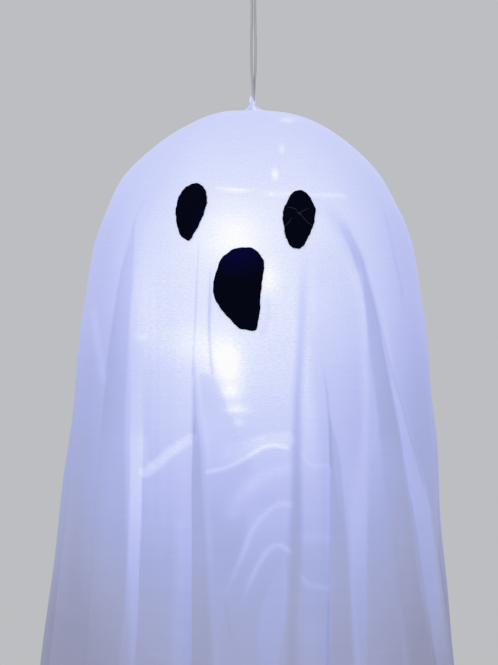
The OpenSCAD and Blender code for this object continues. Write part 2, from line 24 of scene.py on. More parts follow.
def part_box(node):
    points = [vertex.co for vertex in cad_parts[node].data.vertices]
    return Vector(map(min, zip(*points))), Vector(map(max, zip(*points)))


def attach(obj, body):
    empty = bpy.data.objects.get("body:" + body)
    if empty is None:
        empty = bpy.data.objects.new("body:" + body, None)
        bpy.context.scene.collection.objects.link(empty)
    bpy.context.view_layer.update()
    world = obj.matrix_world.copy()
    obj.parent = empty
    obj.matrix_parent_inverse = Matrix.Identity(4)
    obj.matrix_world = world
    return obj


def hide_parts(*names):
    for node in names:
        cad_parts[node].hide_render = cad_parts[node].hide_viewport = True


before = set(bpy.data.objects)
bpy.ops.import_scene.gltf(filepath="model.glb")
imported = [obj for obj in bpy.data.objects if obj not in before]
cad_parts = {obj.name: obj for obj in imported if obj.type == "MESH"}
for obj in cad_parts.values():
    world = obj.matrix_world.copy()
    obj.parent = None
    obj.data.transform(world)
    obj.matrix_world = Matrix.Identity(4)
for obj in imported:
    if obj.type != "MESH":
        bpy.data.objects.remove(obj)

log = logging.getLogger("hanging_ghost")
MM = 0.001
TURN = 2 * math.pi
TINY = 1e-9
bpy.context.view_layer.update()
SEED = 1031
# The most that a curve swings out at a point, as a share of the way to the next one.
LONGEST_SLOPE = 1.5
# At this scale a wave texture has about one band for each unit of its input.
ONE_BAND = 0.32

Array = np.ndarray
Pair = tuple[float, float]
Pixels = Sequence[Pair]
Point = tuple[float, float, float]
Colour = tuple[float, float, float, float]


def linear(code: str) -> Colour:
    """Turns an sRGB hex colour to linear.

    Args:
        code: six hex digits.

    Returns:
        Linear red, green, blue and an alpha of 1.
    """
    parts = [int(code[k:k + 2], 16) / 255 for k in (0, 2, 4)]
    red, green, blue = (c / 12.92 if c <= 0.04045 else ((c + 0.055) / 1.055) ** 2.4 for c in parts)
    return (red, green, blue, 1.0)


def smooth_step(
    value: Array | float, start: Array | float = 0.0, span: float = 1.0
) -> Array | float:
    """Eases a number or array from 0 to 1 over a span that begins at start, flat at both ends."""
    t = np.clip((value - start) / span, 0.0, 1.0)
    return t * t * (3 - 2 * t)


def curve_through(x: Array | float, xs: Sequence[float], ys: Sequence[float]) -> Array:
    """Reads a smooth curve that passes through stations and keeps to its end values beyond them.

    Args:
        x: where it is read.
        xs: rising places of the stations.
        ys: values of the stations.

    Returns:
        The curve's values.
    """
    px, py = np.asarray(xs, float), np.asarray(ys, float)
    slopes = np.gradient(py, px)
    t = np.clip(np.asarray(x, float), px[0], px[-1])
    k = np.clip(np.searchsorted(px, t, side="right") - 1, 0, len(px) - 2)
    h = px[k + 1] - px[k]
    s = (t - px[k]) / h
    return (
        (2 * s**3 - 3 * s**2 + 1) * py[k] + (s**3 - 2 * s**2 + s) * h * slopes[k]
        + (-2 * s**3 + 3 * s**2) * py[k + 1] + (s**3 - s**2) * h * slopes[k + 1]
    )


def run_along(line: Array) -> Array:
    """Measures the way along a line, from its first point to each one."""
    return np.concatenate([[0], np.cumsum(np.linalg.norm(np.diff(line, axis=0), axis=1))])


def even_points(line: Array, count: int, closed: bool = False) -> Array:
    """Spaces points evenly along a line.

    Args:
        line: one row per point.
        count: how many points there are to be.
        closed: whether the line ends where it begins, so that its last point is left out.

    Returns:
        One row per new point.
    """
    run = run_along(line)
    places = np.linspace(0, run[-1], count, endpoint=not closed)
    return np.column_stack([np.interp(places, run, side) for side in line.T])


def spline(points: Array, counts: Sequence[int], closed: bool) -> Array:
    """Runs a Catmull-Rom curve through points, held back where they crowd so that it makes no loop.

    Args:
        points: one row per control point.
        counts: how many samples each span gets, without its last point.
        closed: whether the last point joins the first; the last row then repeats the first,
            a whole turn on.

    Returns:
        The samples, one row each, and the last control point where the curve is open.
    """
    rows = len(points)
    if closed:
        turn = points[-1] - points[0]
        padded = np.vstack([points[-2] - turn, points, points[1] + turn])
    else:
        padded = np.vstack([2 * points[0] - points[1], points, 2 * points[-1] - points[-2]])
    out = []
    for k in range(rows - 1):
        a, b, c, d = padded[k:k + 4]
        reach = LONGEST_SLOPE * np.linalg.norm(c - b)
        leave, arrive = (
            slope * min(1.0, reach / max(np.linalg.norm(slope), TINY))
            for slope in ((c - a) / 2, (d - b) / 2)
        )
        t = (np.arange(counts[k]) / counts[k])[:, None]
        out.append(
            b * (2 * t**3 - 3 * t**2 + 1) + leave * (t**3 - 2 * t**2 + t)
            + c * (3 * t**2 - 2 * t**3) + arrive * (t**3 - t**2)
        )
    if not closed:
        out.append(points[-1][None, :])
    return np.vstack(out)


def add_node(tree: NodeTree, kind: str, settings: dict[str, Any] | None = None,
             inputs: dict[str | int, Any] | None = None) -> Node:
    """Adds a node with its settings, values and links.

    Args:
        tree: node tree that takes the node.
        kind: the node's type, without the ShaderNode that it begins with.
        settings: properties of the node, by name.
        inputs: values, or sockets to link, by the input's name or number.

    Returns:
        The new node.
    """
    node = tree.nodes.new(f"ShaderNode{kind}")
    for name, value in (settings or {}).items():
        setattr(node, name, value)
    for key, value in (inputs or {}).items():
        if isinstance(value, NodeSocket):
            tree.links.new(value, node.inputs[key])
        else:
            node.inputs[key].default_value = value
    return node


def set_ramp(node: Node, stops: Sequence[tuple[float, tuple[float, ...]]]) -> None:
    """Sets the stops of a colour ramp.

    Args:
        node: the ramp.
        stops: position and linear colour of each stop, in order.
    """
    elements = node.color_ramp.elements
    while len(elements) < len(stops):
        elements.new(1.0)
    for element, (place, colour) in zip(elements, stops):
        element.position = place
        element.color = colour


def new_surface(name: str, **values: Any) -> tuple[Material, NodeTree, Node]:
    """Starts a material with one Principled shader.

    Args:
        name: the material's name.
        **values: inputs of the shader, with underscores for spaces.

    Returns:
        The material, its node tree and its shader.
    """
    material = bpy.data.materials.new(name)
    material.use_nodes = True
    tree = material.node_tree
    shader = tree.nodes["Principled BSDF"]
    for key, value in values.items():
        shader.inputs[key.replace("_", " ")].default_value = value
    return material, tree, shader


def link_piece(name: str, mesh: Mesh) -> Object:
    """Links a mesh to the scene as a smooth object at the origin.

    Args:
        name: the piece's name.
        mesh: its mesh.

    Returns:
        The linked object.
    """
    mesh.shade_smooth()
    piece = bpy.data.objects.new(name, mesh)
    bpy.context.scene.collection.objects.link(piece)
    return piece


def make_piece(name: str, verts: Array, faces: Iterable[Sequence[int]]) -> Object:
    """Makes a piece of points and faces, for the cloth and the cords.

    Args:
        name: the piece's name.
        verts: one row per point.
        faces: point numbers of each face.

    Returns:
        The linked object.
    """
    mesh = bpy.data.meshes.new(name)
    mesh.from_pydata(verts.tolist(), [], [tuple(f) for f in faces])
    return link_piece(name, mesh)


def from_bmesh(name: str, bm: BMesh) -> Object:
    """Makes a piece of a finished bmesh.

    Args:
        name: the piece's name.
        bm: the shape, which is freed.

    Returns:
        The linked object.
    """
    mesh = bpy.data.meshes.new(name)
    bm.to_mesh(mesh)
    bm.free()
    return link_piece(name, mesh)


@dataclass(frozen=True)
class PhotoView:
    """The camera of the photograph: level, in front of the face."""

    width: int = 498
    height: int = 665
    distance: float = 1.5
    across: float = -0.0033
    level: float = -0.2743
    lens_mm: float = 110.5
    sensor_mm: float = 36.0

    @property
    def focal(self) -> float:
        """Focal length in pixels of the photograph."""
        return self.lens_mm / self.sensor_mm * self.height

    def to_pixels(self, points: Array) -> Array:
        """Projects points to the photograph.

        Args:
            points: one row per point.

        Returns:
            One row of pixel coordinates per point.
        """
        scale = self.focal / (self.distance + points[:, 1])
        across = self.width / 2 + (points[:, 0] - self.across) * scale
        down = self.height / 2 - (points[:, 2] - self.level) * scale
        return np.column_stack([across, down])

    def build(self) -> None:
        """Makes the camera and sets it as the scene's."""
        data = bpy.data.cameras.new("camera")
        data.lens = self.lens_mm
        data.sensor_width = self.sensor_mm
        data.clip_start = 0.05
        data.clip_end = 30
        camera = bpy.data.objects.new("camera", data)
        camera.location = (self.across, -self.distance, self.level)
        camera.rotation_euler = (math.pi / 2, 0, 0)
        bpy.context.scene.collection.objects.link(camera)
        bpy.context.scene.camera = camera


@dataclass(frozen=True)
class Wave:
    """A wave that runs round the cloth, or round a felt shape.

    Attributes:
        height: its height, in the unit of what it changes.
        count: how many there are in a turn.
        rise: how far it turns on with each unit of the way down, in radians.
        phase: where it begins, in radians.
    """

    height: float
    count: int
    rise: float = 0.0
    phase: float = 0.0


def add_waves(waves: Sequence[Wave], bearing: Array, down: float = 0.0) -> Array:
    """Adds up waves at each bearing, in radians, and at one place on the way down."""
    return sum(w.height * np.sin(w.count * bearing + w.rise * down + w.phase) for w in waves)


class Form(Enum):
    """How a fold lies, seen from outside."""

    EDGE_LEFT = "doubled, with its edge on the left"
    EDGE_RIGHT = "doubled, with its edge on the right"
    FLUTE = "a round flute"


# Shares of a fold's width and of its depth, from left to right. A doubled fold runs from the panel
# that goes under it to the one that lies over it, and is mirrored where its edge is on the right.
DOUBLED_SHARES = (
    (-0.75, 0.16), (-0.2, 0.55), (0.35, 0.84), (0.8, 1.0), (1.0, 0.94), (0.86, 0.78),
    (0.45, 0.62), (0.1, 0.45), (-0.02, 0.24), (0.1, 0.04), (0.45, 0.0), (0.95, 0.0),
)
FLUTE_SHARES = (
    (-1.0, 0.0), (-0.7, 0.05), (-0.4, 0.27), (-0.3, 0.6), (-0.36, 0.86), (0.0, 1.0),
    (0.36, 0.86), (0.3, 0.6), (0.4, 0.27), (0.7, 0.05), (1.0, 0.0),
)
# Spans of a doubled fold that lie under its panel.
UNDER_SPANS = {Form.EDGE_LEFT: range(2, 8), Form.EDGE_RIGHT: range(3, 9)}
# Width of a flute where it begins, as a share of that at the hem, and the power by which it deepens.
FLUTE_MOUTH = 0.55
FLUTE_DEEPENS = 0.6
# Powers by which a doubled fold widens and deepens.
DOUBLED_WIDENS = 0.75
DOUBLED_DEEPENS = 0.7


@dataclass(frozen=True)
class Fold:
    """A fold of the hanging cloth, along a line from where it begins to the hem.

    Attributes:
        form: how it lies.
        line: drop and bearing in degrees of the line, from the top down.
        width: width of the doubled cloth, or of half a flute's mouth, at the hem.
        depth: how far in the fold reaches at the hem.
        lean: how far a flute's floor leans to one side, as a share of its width.
    """

    form: Form
    line: tuple[Pair, ...]
    width: float
    depth: float
    lean: float = 0.0

    @property
    def start(self) -> float:
        """Drop where the fold begins."""
        return self.line[0][0]

    def bearing(self, drop: float) -> float:
        """Bearing of the line at a drop, in radians."""
        return math.radians(float(curve_through(drop, *zip(*self.line))))

    @property
    def shares(self) -> Array:
        """Shares of its width and of its depth, one row per control point from left to right."""
        if self.form is Form.FLUTE:
            return np.array(FLUTE_SHARES)
        doubled = np.array(DOUBLED_SHARES)
        return doubled if self.form is Form.EDGE_LEFT else doubled[::-1] * np.array([-1.0, 1.0])

    def size_at(self, down: float) -> Pair:
        """Width and depth at a share of the way from where it begins to the hem."""
        if self.form is Form.FLUTE:
            return self.width * (FLUTE_MOUTH + (1 - FLUTE_MOUTH) * down), self.depth * down**FLUTE_DEEPENS
        return self.width * down**DOUBLED_WIDENS, self.depth * down**DOUBLED_DEEPENS


@dataclass(frozen=True)
class Stroke:
    """A line of light or shade that shows through the cloth.

    Attributes:
        path: pixels of the photograph that it follows.
        half_width: half of its width in pixels.
        gain: change of brightness at its middle, as a share.
        fade: share of the gain that is left at its first point.
        power: how flat its middle is, 2 for a soft line and more for a band.
    """

    path: Pixels
    half_width: float
    gain: float
    fade: float = 1.0
    power: float = 2.0

    def change(self, pixels: Array) -> Array:
        """Reads the line's change of brightness.

        Args:
            pixels: where each point lies in the photograph.

        Returns:
            One factor less one per point.
        """
        path = np.array(self.path, float)
        run = run_along(path)
        run /= run[-1]
        best = np.full(len(pixels), np.inf)
        along = np.zeros(len(pixels))
        for k in range(len(path) - 1):
            way = path[k + 1] - path[k]
            t = np.clip(((pixels - path[k]) @ way) / (way @ way), 0, 1)
            gap = np.linalg.norm(pixels - path[k] - t[:, None] * way, axis=1)
            nearer = gap < best
            best = np.where(nearer, gap, best)
            along = np.where(nearer, run[k] + t * (run[k + 1] - run[k]), along)
        ease = self.fade + (1 - self.fade) * smooth_step(along, 0.0, STROKE_FADE)
        return self.gain * ease * np.exp(-((best / self.half_width) ** self.power))


@dataclass(frozen=True)
class Glow:
    """A lamp's soft spot on the cloth: its middle, its half sizes in pixels and its gain."""

    middle: Pair
    half: Pair
    gain: float

    def change(self, pixels: Array) -> Array:
        """The spot's change of brightness at each pixel, as a factor less one."""
        gap = (pixels - np.array(self.middle)) / np.array(self.half)
        return self.gain * np.exp(-(gap**2).sum(axis=1))


@dataclass(frozen=True)
class Band:
    """An upright band of light or shade that shows through the cloth.

    Attributes:
        rows: pixel row, left and right pixel column, and change of brightness, from the top down.
        soft: width in pixels of the band's left and right edge.
    """

    rows: tuple[Colour, ...]
    soft: Pair

    def change(self, pixels: Array) -> Array:
        """Reads the band's change of brightness.

        Args:
            pixels: where each point lies in the photograph.

        Returns:
            One factor less one per point.
        """
        rows = np.array(self.rows, float)
        across, down = pixels[:, 0], pixels[:, 1]
        left = curve_through(down, rows[:, 0], rows[:, 1])
        right = curve_through(down, rows[:, 0], rows[:, 2])
        gain = np.interp(down, rows[:, 0], rows[:, 3])
        enter = smooth_step(across, left - self.soft[0] / 2, self.soft[0])
        leave = smooth_step(-across, -right - self.soft[1] / 2, self.soft[1])
        return gain * enter * leave


# Share of a stroke's length over which it grows to its full gain.
STROKE_FADE = 0.4

# Painted light and shade on the cloth, read from the photograph: spots in front of the lamps, glints on
# the dome and soft patches of light and shade.
GLOWS = {
    "lamp between the eyes": Glow((234, 238), (30, 32), 0.22),
    "lamp beside the mouth": Glow((268, 279), (12, 17), 0.2),
    "lamp below the mouth": Glow((228, 365), (14, 21), 0.36),
    "holder of the lowest lamp": Glow((230, 393), (10, 7), 0.25),
    "lowest lamp": Glow((236, 409), (11.5, 4), 0.36),
    "tip of the lowest lamp": Glow((239, 422), (5, 3), 0.22),
    "halo left of that lamp": Glow((212, 352), (24, 24), 0.12),
    "wider halo there": Glow((205, 345), (30, 24), 0.06),
    "end of that halo": Glow((183, 342), (26, 18), 0.08),
    "halo of the lowest lamp": Glow((236, 386), (12, 15), 0.1),
    "halo round the lower lamps": Glow((246, 345), (34, 50), 0.04),
    "left cheek": Glow((148, 328), (13, 34), 0.08),
    "left cheek, upper part": Glow((141, 290), (20, 62), 0.1),
    "glint on the left cheek": Glow((140, 338), (7, 2.5), 0.14),
    "left side, below": Glow((106, 500), (14, 80), 0.05),
    "left edge, below": Glow((76, 560), (9, 90), -0.05),
    "shade above the arcs": Glow((266, 502), (14, 12), -0.06),
    "below the right eye": Glow((318, 262), (28, 30), -0.05),
    "glint beside the crown": Glow((287, 120), (7, 2.4), 0.2),
    "upper glint on the dome": Glow((282, 149), (2.4, 4.5), 0.2),
    "lower glint on the dome": Glow((275, 174), (2.8, 5), 0.32),
}

# Painted lines of light and shade on the cloth, read from the photograph: the dome's rim, folds of the
# inner layers and edges of doubled cloth where they show through, and the light band and arcs, which
# are bands of light thrown on the cloth from inside.
STROKES = {
    "dome's rim between the eyes": Stroke(((217, 188), (245, 190.5), (272, 193)), 1.3, 0.24, 0.6),
    "dome's rim over the right eye": Stroke(((272, 193), (305, 195), (345, 196)), 1.3, 0.1),
    "light band, left part": Stroke(((191, 438), (170, 452.5), (155, 466), (145, 472.5)), 5.4, 0.27, 0.6, 4.0),
    "light band, left end": Stroke(((145, 440), (146, 460), (151, 465)), 3.5, 0.1),
    "light band, lower edge": Stroke(
        ((207, 472), (224, 468.5), (239, 462), (251, 455), (263, 447), (275, 445), (287.5, 448)), 2, 0.26
    ),
    "light band, middle part": Stroke(((212, 461), (238, 455), (262, 443), (288, 440)), 7, 0.15, 0.3, 4.0),
    "light band, upper edge": Stroke(
        ((208, 451), (230, 447), (250, 440), (270, 434), (289, 433)), 2.6, 0.08, 0.3
    ),
    "light band, right end": Stroke(((302, 452), (305, 460), (312, 465), (328, 466)), 2, 0.08),
    "upper arc": Stroke(
        ((225.5, 602), (228, 588.5), (234, 575.5), (244, 551), (251, 532), (260, 519), (270, 509.5),
         (280, 503.5), (290, 504.5)), 2.6, 0.2, 0.1
    ),
    "lower arc": Stroke(
        ((241, 608), (244, 597), (250, 582), (257, 567), (265.5, 553), (273, 546), (281, 545), (289, 551)),
        2.4, 0.2, 0.1
    ),
    "arcs, end below": Stroke(((284, 560), (286, 590), (283, 620)), 1.8, 0.06),
    "arcs, end on the right": Stroke(((303, 578), (308, 585), (328, 588.5)), 2.6, 0.14),
    "arcs, shade below": Stroke(((225, 600), (228, 617), (231, 637)), 1.8, -0.08),
    "soft light above the arcs": Stroke(((230, 515), (240, 497), (252, 483), (268, 474), (287, 468)), 6, 0.08, 0.2),
    "soft light's left end": Stroke(((247, 487), (235, 511)), 10, 0.1),
    "patch right of the arcs": Stroke(((304, 537), (328, 537)), 6, 0.06),
    "shade beside the mouth": Stroke(((268, 298), (268, 315), (262, 333)), 3.5, -0.07),
    "fold left of the mouth": Stroke(((210.5, 270), (209, 325), (210, 350), (212.5, 373)), 1.5, -0.26, 0.35),
    "foot of that fold": Stroke(((201, 376), (214, 376)), 2, -0.05),
    "fold below the left eye": Stroke(
        ((198.5, 245), (196, 300), (193.7, 350), (192.5, 375)), 1.2, -0.16, 0.4
    ),
    "left panel's edge": Stroke(((194.5, 362), (194, 385), (193.5, 410), (193, 440)), 1.8, -0.2, 0.4),
    "left panel's bright edge": Stroke(((191.2, 480), (191, 560), (191, 662)), 1.4, 0.1, 0.2),
    "right panel's edge": Stroke(((321, 355), (327, 392), (329.5, 430), (330.5, 466)), 1.2, -0.13, 0.1),
    "right panel's bright edge": Stroke(
        ((328.9, 425), (328.9, 500), (328.7, 580), (328.4, 664)), 1.3, 0.1, 0.3
    ),
    "left side's edge": Stroke(((94, 314), (98, 345), (104, 378)), 4, 0.1),
    "left cheek's edge": Stroke(
        ((145, 200), (136, 215), (129, 240), (121, 272), (115, 307), (110, 340), (105.5, 375)),
        1.2, -0.09, 0.7
    ),
    "first crease on the left": Stroke(((150, 262), (150, 350), (149, 460)), 2.2, -0.04, 0.2),
    "second crease there": Stroke(((158, 262), (158, 350), (157, 520)), 2.2, -0.04, 0.2),
    "third crease there": Stroke(((171, 300), (170, 420), (169, 560)), 4, -0.03, 0.2),
    "right cheek, shade": Stroke(((316, 203), (330, 213), (345, 232), (358, 262)), 8, -0.11, 0.3),
    "right cheek's edge": Stroke(
        ((349, 230), (362, 255), (371, 285), (380, 320), (386, 355), (391, 380)), 1.2, -0.1, 0.8
    ),
    "right cheek's second edge": Stroke(
        ((379, 322), (385, 341), (389, 360), (395, 382), (402.5, 407), (409, 432), (415, 452), (420, 470),
         (423.7, 485)), 1.1, -0.16, 0.4
    ),
    "right temple's fold": Stroke(
        ((404, 325), (401, 284), (395, 260), (390, 232), (384, 212)), 1.2, -0.09, 0.1
    ),
}

# Painted light and shade of doubled cloth, single strips and soft folds, read from the photograph as
# rows of row, left, right and gain.
BANDS = {
    "left cheek, doubled": Band((
        (176, 167, 185, 0), (215, 136, 150, -0.01), (240, 129, 142, -0.02), (272, 121, 136, -0.03),
        (307, 115, 131, -0.05), (340, 110, 129.5, -0.05), (375, 105.5, 129.5, -0.04),
        (415, 101.5, 129.5, 0.01), (450, 99, 129.5, 0.06), (487, 97, 129, 0.09), (525, 94, 128.5, 0.11),
        (562, 92, 126.5, 0.12), (612, 88.5, 123, 0.13), (665, 86, 119, 0.12),
    ), (1.6, 3)),
    "bright strip on the left": Band((
        (350, 131, 142, 0), (400, 131, 142.5, 0.1), (425, 130.5, 143, 0.15), (440, 130, 143, 0.28),
        (470, 130, 142.5, 0.36), (500, 129.5, 141.5, 0.38), (525, 129, 141, 0.33), (560, 127, 139.5, 0.27),
        (600, 124.5, 138.5, 0.25), (640, 121, 136, 0.22), (665, 119, 134, 0.2),
    ), (2.4, 1.6)),
    "left panel, shade inside": Band((
        (365, 195, 198, 0), (400, 194, 200, -0.14), (440, 193, 203.5, -0.18), (472, 192, 207, -0.15),
        (540, 191.5, 214, -0.02), (600, 191.5, 218, 0.01), (665, 191.5, 222, 0.03),
    ), (1.4, 8)),
    "left panel, light outside": Band((
        (480, 178, 191, 0), (560, 176, 191, 0.09), (640, 172, 191, 0.12), (665, 172, 191, 0.1),
    ), (12, 1.4)),
    "shade over the light band": Band((
        (372, 200, 212, 0), (378, 200, 216, -0.12), (395, 202, 223, -0.14), (412, 203, 229, -0.1),
        (430, 207, 236, -0.05), (446, 210, 244, 0),
    ), (4, 4)),
    "shade under the light band": Band((
        (430, 209, 250, 0), (450, 209, 250, -0.07), (475, 209, 252, -0.1), (510, 211, 248, -0.11),
        (550, 213, 244, -0.09), (600, 214, 240, 0),
    ), (6, 14)),
    "dark fold right of the mouth": Band((
        (262, 299, 305, 0), (300, 298, 305.5, -0.13), (345, 297, 304, -0.22), (400, 294, 301, -0.3),
        (440, 292.5, 301, -0.27), (500, 291, 302, -0.24), (560, 289.5, 301, -0.18), (600, 288, 298, -0.12),
        (665, 286, 297, -0.1),
    ), (8.5, 8.5)),
    "light left of the dark fold": Band((
        (562, 280, 288, 0), (585, 270, 287, 0.07), (620, 259, 285, 0.1), (665, 259, 278, 0.08),
    ), (7, 3)),
    "strip right of the dark fold": Band((
        (330, 305, 318, 0), (416, 305, 326, 0.02), (500, 305, 330, -0.03), (560, 304, 330, -0.01),
        (588, 304, 330, 0.03), (620, 304, 330, 0.02), (665, 304, 329, 0),
    ), (4, 2)),
    "foot of that strip": Band(((618, 304, 329, 0), (627, 304, 329, 0.06), (665, 304, 329, 0.05)), (3, 2)),
    "crease below the right eye": Band((
        (215, 308, 316, 0), (300, 308, 317, 0.04), (390, 308, 320, 0.0), (440, 308, 322, 0),
    ), (5, 8)),
    "shade below the right eye": Band((
        (222, 298, 340, 0), (260, 300, 345, -0.04), (300, 303, 356, -0.08), (380, 312, 362, -0.17),
        (430, 316, 362, -0.16), (480, 320, 355, -0.07), (560, 320, 340, 0),
    ), (14, 12)),
    "right panel, doubled edge": Band((
        (395, 328, 331, 0), (450, 330, 333, -0.08), (495, 330, 337.5, -0.06), (537, 330, 345, -0.02),
        (585, 330, 352.5, 0.04), (637, 330, 358.7, 0.07), (665, 330, 361, 0.08),
    ), (1.4, 2.5)),
    "light left of the right cheek": Band((
        (270, 359, 363, 0), (312, 361, 366, 0.01), (380, 361, 367, -0.02), (450, 352, 367, 0.0),
        (510, 350, 367, 0.07), (560, 350, 367, 0.12), (665, 356, 367, 0.1),
    ), (6, 2)),
    "right cheek, doubled": Band((
        (218, 336, 345, 0), (232, 342, 350, -0.12), (255, 352, 361, -0.18), (285, 361, 370, -0.2),
        (320, 367, 378.7, -0.18), (355, 367, 385, -0.14), (380, 368, 390, -0.12), (420, 368, 397.5, -0.1),
        (450, 368, 402.5, -0.08), (507, 368, 412.5, -0.07), (562, 368, 421, -0.04), (620, 369, 430, -0.01),
        (665, 370, 437, 0.02),
    ), (4, 1.6)),
    "right cheek, light inside": Band((
        (430, 380, 398, 0), (462, 383, 404, 0.09), (505, 389, 412, 0.1), (550, 395.5, 419.5, 0.12),
        (600, 400, 427, 0.13), (650, 404, 434, 0.12),
    ), (9, 1.6)),
    "bright strip on the right": Band((
        (300, 374, 384, 0), (345, 383, 390, 0.06), (380, 390, 396, 0.09), (420, 397.5, 408, 0.11),
        (450, 402.5, 416, 0.13), (482, 407.5, 425, 0.2), (507, 412.5, 430, 0.24), (537, 417.5, 434, 0.26),
        (562, 421, 438, 0.27), (590, 425, 443, 0.31), (620, 430, 447, 0.34), (665, 436.5, 453, 0.32),
    ), (1.6, 4)),
}


@dataclass(frozen=True)
class Bulge:
    """A stretch of the cloth whose sides stand out, or in where a reach is below 0.

    Attributes:
        drop: drop of its middle.
        half: half of its height.
        left: how far the left side stands out.
        right: how far the right side stands out.
    """

    drop: float
    half: float
    left: float
    right: float


@dataclass
class Shroud:
    """The ghost's cloth, which lies on the head and hangs from it in folds.

    Attributes:
        head_r: radius of the cloth on the head.
        brow_deg: how far down the head's arc the cloth leaves it.
        length: drop of the hem.
        hem_r: radius of the crests at the hem.
        cut: width of the round piece that the cloth is cut as.
        skirt_shares: shares of the way from brow to hem, and of the widening there.
        hem_rings: how far above the hem, and how far in, each ring of the turned hem lies.
        drift_left: how far the lower part hangs to the left, and drift_over where it sets in.
        neck_r: radius of the cloth at the cord.
        peak_shares: shares of the peak's height, and of neck_r there.
        peak_narrow: share by which the peak is narrower across than from front to back.
        peak_lean: how far it leans to the left, as a share of its height.
        flat_top: how far the crown sinks within flat_r of the cord.
        ripples: small waves of the hanging cloth, with front_ripple of their height in front.
        head_step: distance between rings on the head, down to rim_top.
        ring_steps: drop to which a distance between rings holds, and that distance.
        step_face: distance between columns at the face_deg bearings, where the marks are finest.
        step_front: the same as far as front_deg, step_back behind that and step_under under a fold.
        flat_deg: spacing of a fold's control points where it has not opened.
        crest_swell: how far the cloth swells out between two flutes at the hem.
    """

    view: PhotoView
    crown: float = -0.110
    head_r: float = 0.1102
    brow_deg: float = 62.0
    length: float = 0.480
    hem_r: float = 0.158
    cut: float = 1.09
    skirt_shares: tuple[Pair, ...] = (
        (0.0, 0.0), (0.065, 0.24), (0.19, 0.42), (0.4, 0.58), (0.67, 0.76), (1.0, 1.0),
    )
    hem_rings: tuple[Pair, ...] = ((0.0004, 0.0006), (0.0045, 0.0012), (0.009, 0.0012))
    hem_waves: tuple[Wave, ...] = (Wave(0.0025, 3, phase=1.0), Wave(0.0018, 7))
    hem_lift: float = 0.06
    drift_left: float = 0.004
    drift_over: Pair = (0.28, 0.15)
    bulges: tuple[Bulge, ...] = (
        Bulge(0.055, 0.019, 0.0034, 0.0012), Bulge(0.315, 0.065, 0.0012, -0.0042),
    )
    side_deg: Pair = (42.0, 170.0)
    side_fade_deg: Pair = (25.0, 40.0)
    peak: float = 0.0085
    neck_r: float = 0.0023
    peak_shares: tuple[Pair, ...] = (
        (1.0, 0.98), (0.98, 1.2), (0.88, 1.28), (0.74, 1.12), (0.6, 1.08), (0.46, 1.35), (0.34, 1.9),
        (0.22, 2.4), (0.12, 2.8), (0.05, 3.2),
    )
    peak_narrow: float = 0.3
    peak_narrow_over: Pair = (-0.002, 0.004)
    peak_lean: float = 0.09
    peak_crumples: tuple[Wave, ...] = (Wave(0.2, 3, 7.0, 0.4), Wave(0.14, 7, -11.0))
    peak_tilts: tuple[Wave, ...] = (Wave(0.16, 3, phase=2.0), Wave(-0.2, 1))
    neck_gathers: tuple[Wave, ...] = (Wave(0.15, 5, phase=0.7), Wave(0.1, 11))
    neck_fade: float = 0.006
    flat_top: float = 0.0013
    flat_r: float = 0.07
    flat_fade: float = 0.03
    ripples: tuple[Wave, ...] = (
        Wave(0.0005, 17, 21.0), Wave(0.0004, 31, -34.0, 1.0), Wave(0.0006, 11, 58.0, 2.0),
    )
    ripple_over: float = 0.2
    front_ripple: float = 0.25
    full_ripple_deg: Pair = (60.0, 30.0)
    head_step: float = 0.003
    rim_top: float = 0.0585
    ring_steps: tuple[Pair, ...] = (
        (0.0665, 0.001), (0.225, 0.0029), (0.268, 0.0013), (0.362, 0.0022), (0.480, 0.0048),
    )
    face_deg: Pair = (-44.0, 30.0)
    front_deg: float = 76.0
    step_face: float = 0.0015
    step_front: float = 0.0026
    step_back: float = 0.0075
    step_under: float = 0.0045
    least_columns: int = 2
    behind: Pair = (-75.5, 84.0)
    skip_behind: int = 4
    measured_at: tuple[float, ...] = (0.3, 0.55, 0.8)
    middle_share: float = 0.6
    lies_flat_over: float = 0.12
    grow: float = 0.07
    flat_deg: float = 0.55
    crest_shares: tuple[float, ...] = (0.33, 0.67)
    crest_inset: float = 0.6
    crest_swell: float = 0.0022
    crest_turn: float = 9.0
    most_sway: float = 0.9
    back_sway_deg: float = 1.8

    def __post_init__(self) -> None:
        """Works out the brow and the stations of the skirt, and makes the folds in order."""
        self.brow = math.radians(self.brow_deg)
        self.brow_r = self.head_r * math.sin(self.brow)
        self.brow_drop = self.head_r * (1 - math.cos(self.brow))
        span = self.length - self.brow_drop
        self.skirt_drops = [self.brow_drop + s * span for s, _ in self.skirt_shares]
        self.skirt_radii = [self.brow_r + w * (self.hem_r - self.brow_r) for _, w in self.skirt_shares]
        self.rng = random.Random(SEED)
        self.folds = self.front_folds() + self.back_folds()
        self.folds.sort(key=lambda f: f.bearing(self.length))

    @property
    def cut_area(self) -> float:
        """Area of the round piece of cloth."""
        return math.pi * self.cut**2 / 4

    def radius(self, drop: Array | float) -> Array:
        """Radius of the cloth's outer face at a drop.

        Args:
            drop: one drop or an array of them.

        Returns:
            The radius of the crests there.
        """
        d = np.asarray(drop, float)
        on_head = np.sqrt(np.clip(self.head_r**2 - (self.head_r - d)**2, self.neck_r**2, None))
        # A station just above the brow gives the skirt the head's slope where they meet.
        lead = 0.01
        below = curve_through(
            d, [self.skirt_drops[0] - lead, *self.skirt_drops],
            [self.skirt_radii[0] - lead / math.tan(self.brow), *self.skirt_radii],
        )
        return np.where(d < self.brow_drop, on_head, below)

    def drift(self, drop: float) -> float:
        """How far to the right the cloth hangs at a drop, below 0 for the left."""
        return -self.drift_left * float(smooth_step(drop, *self.drift_over))

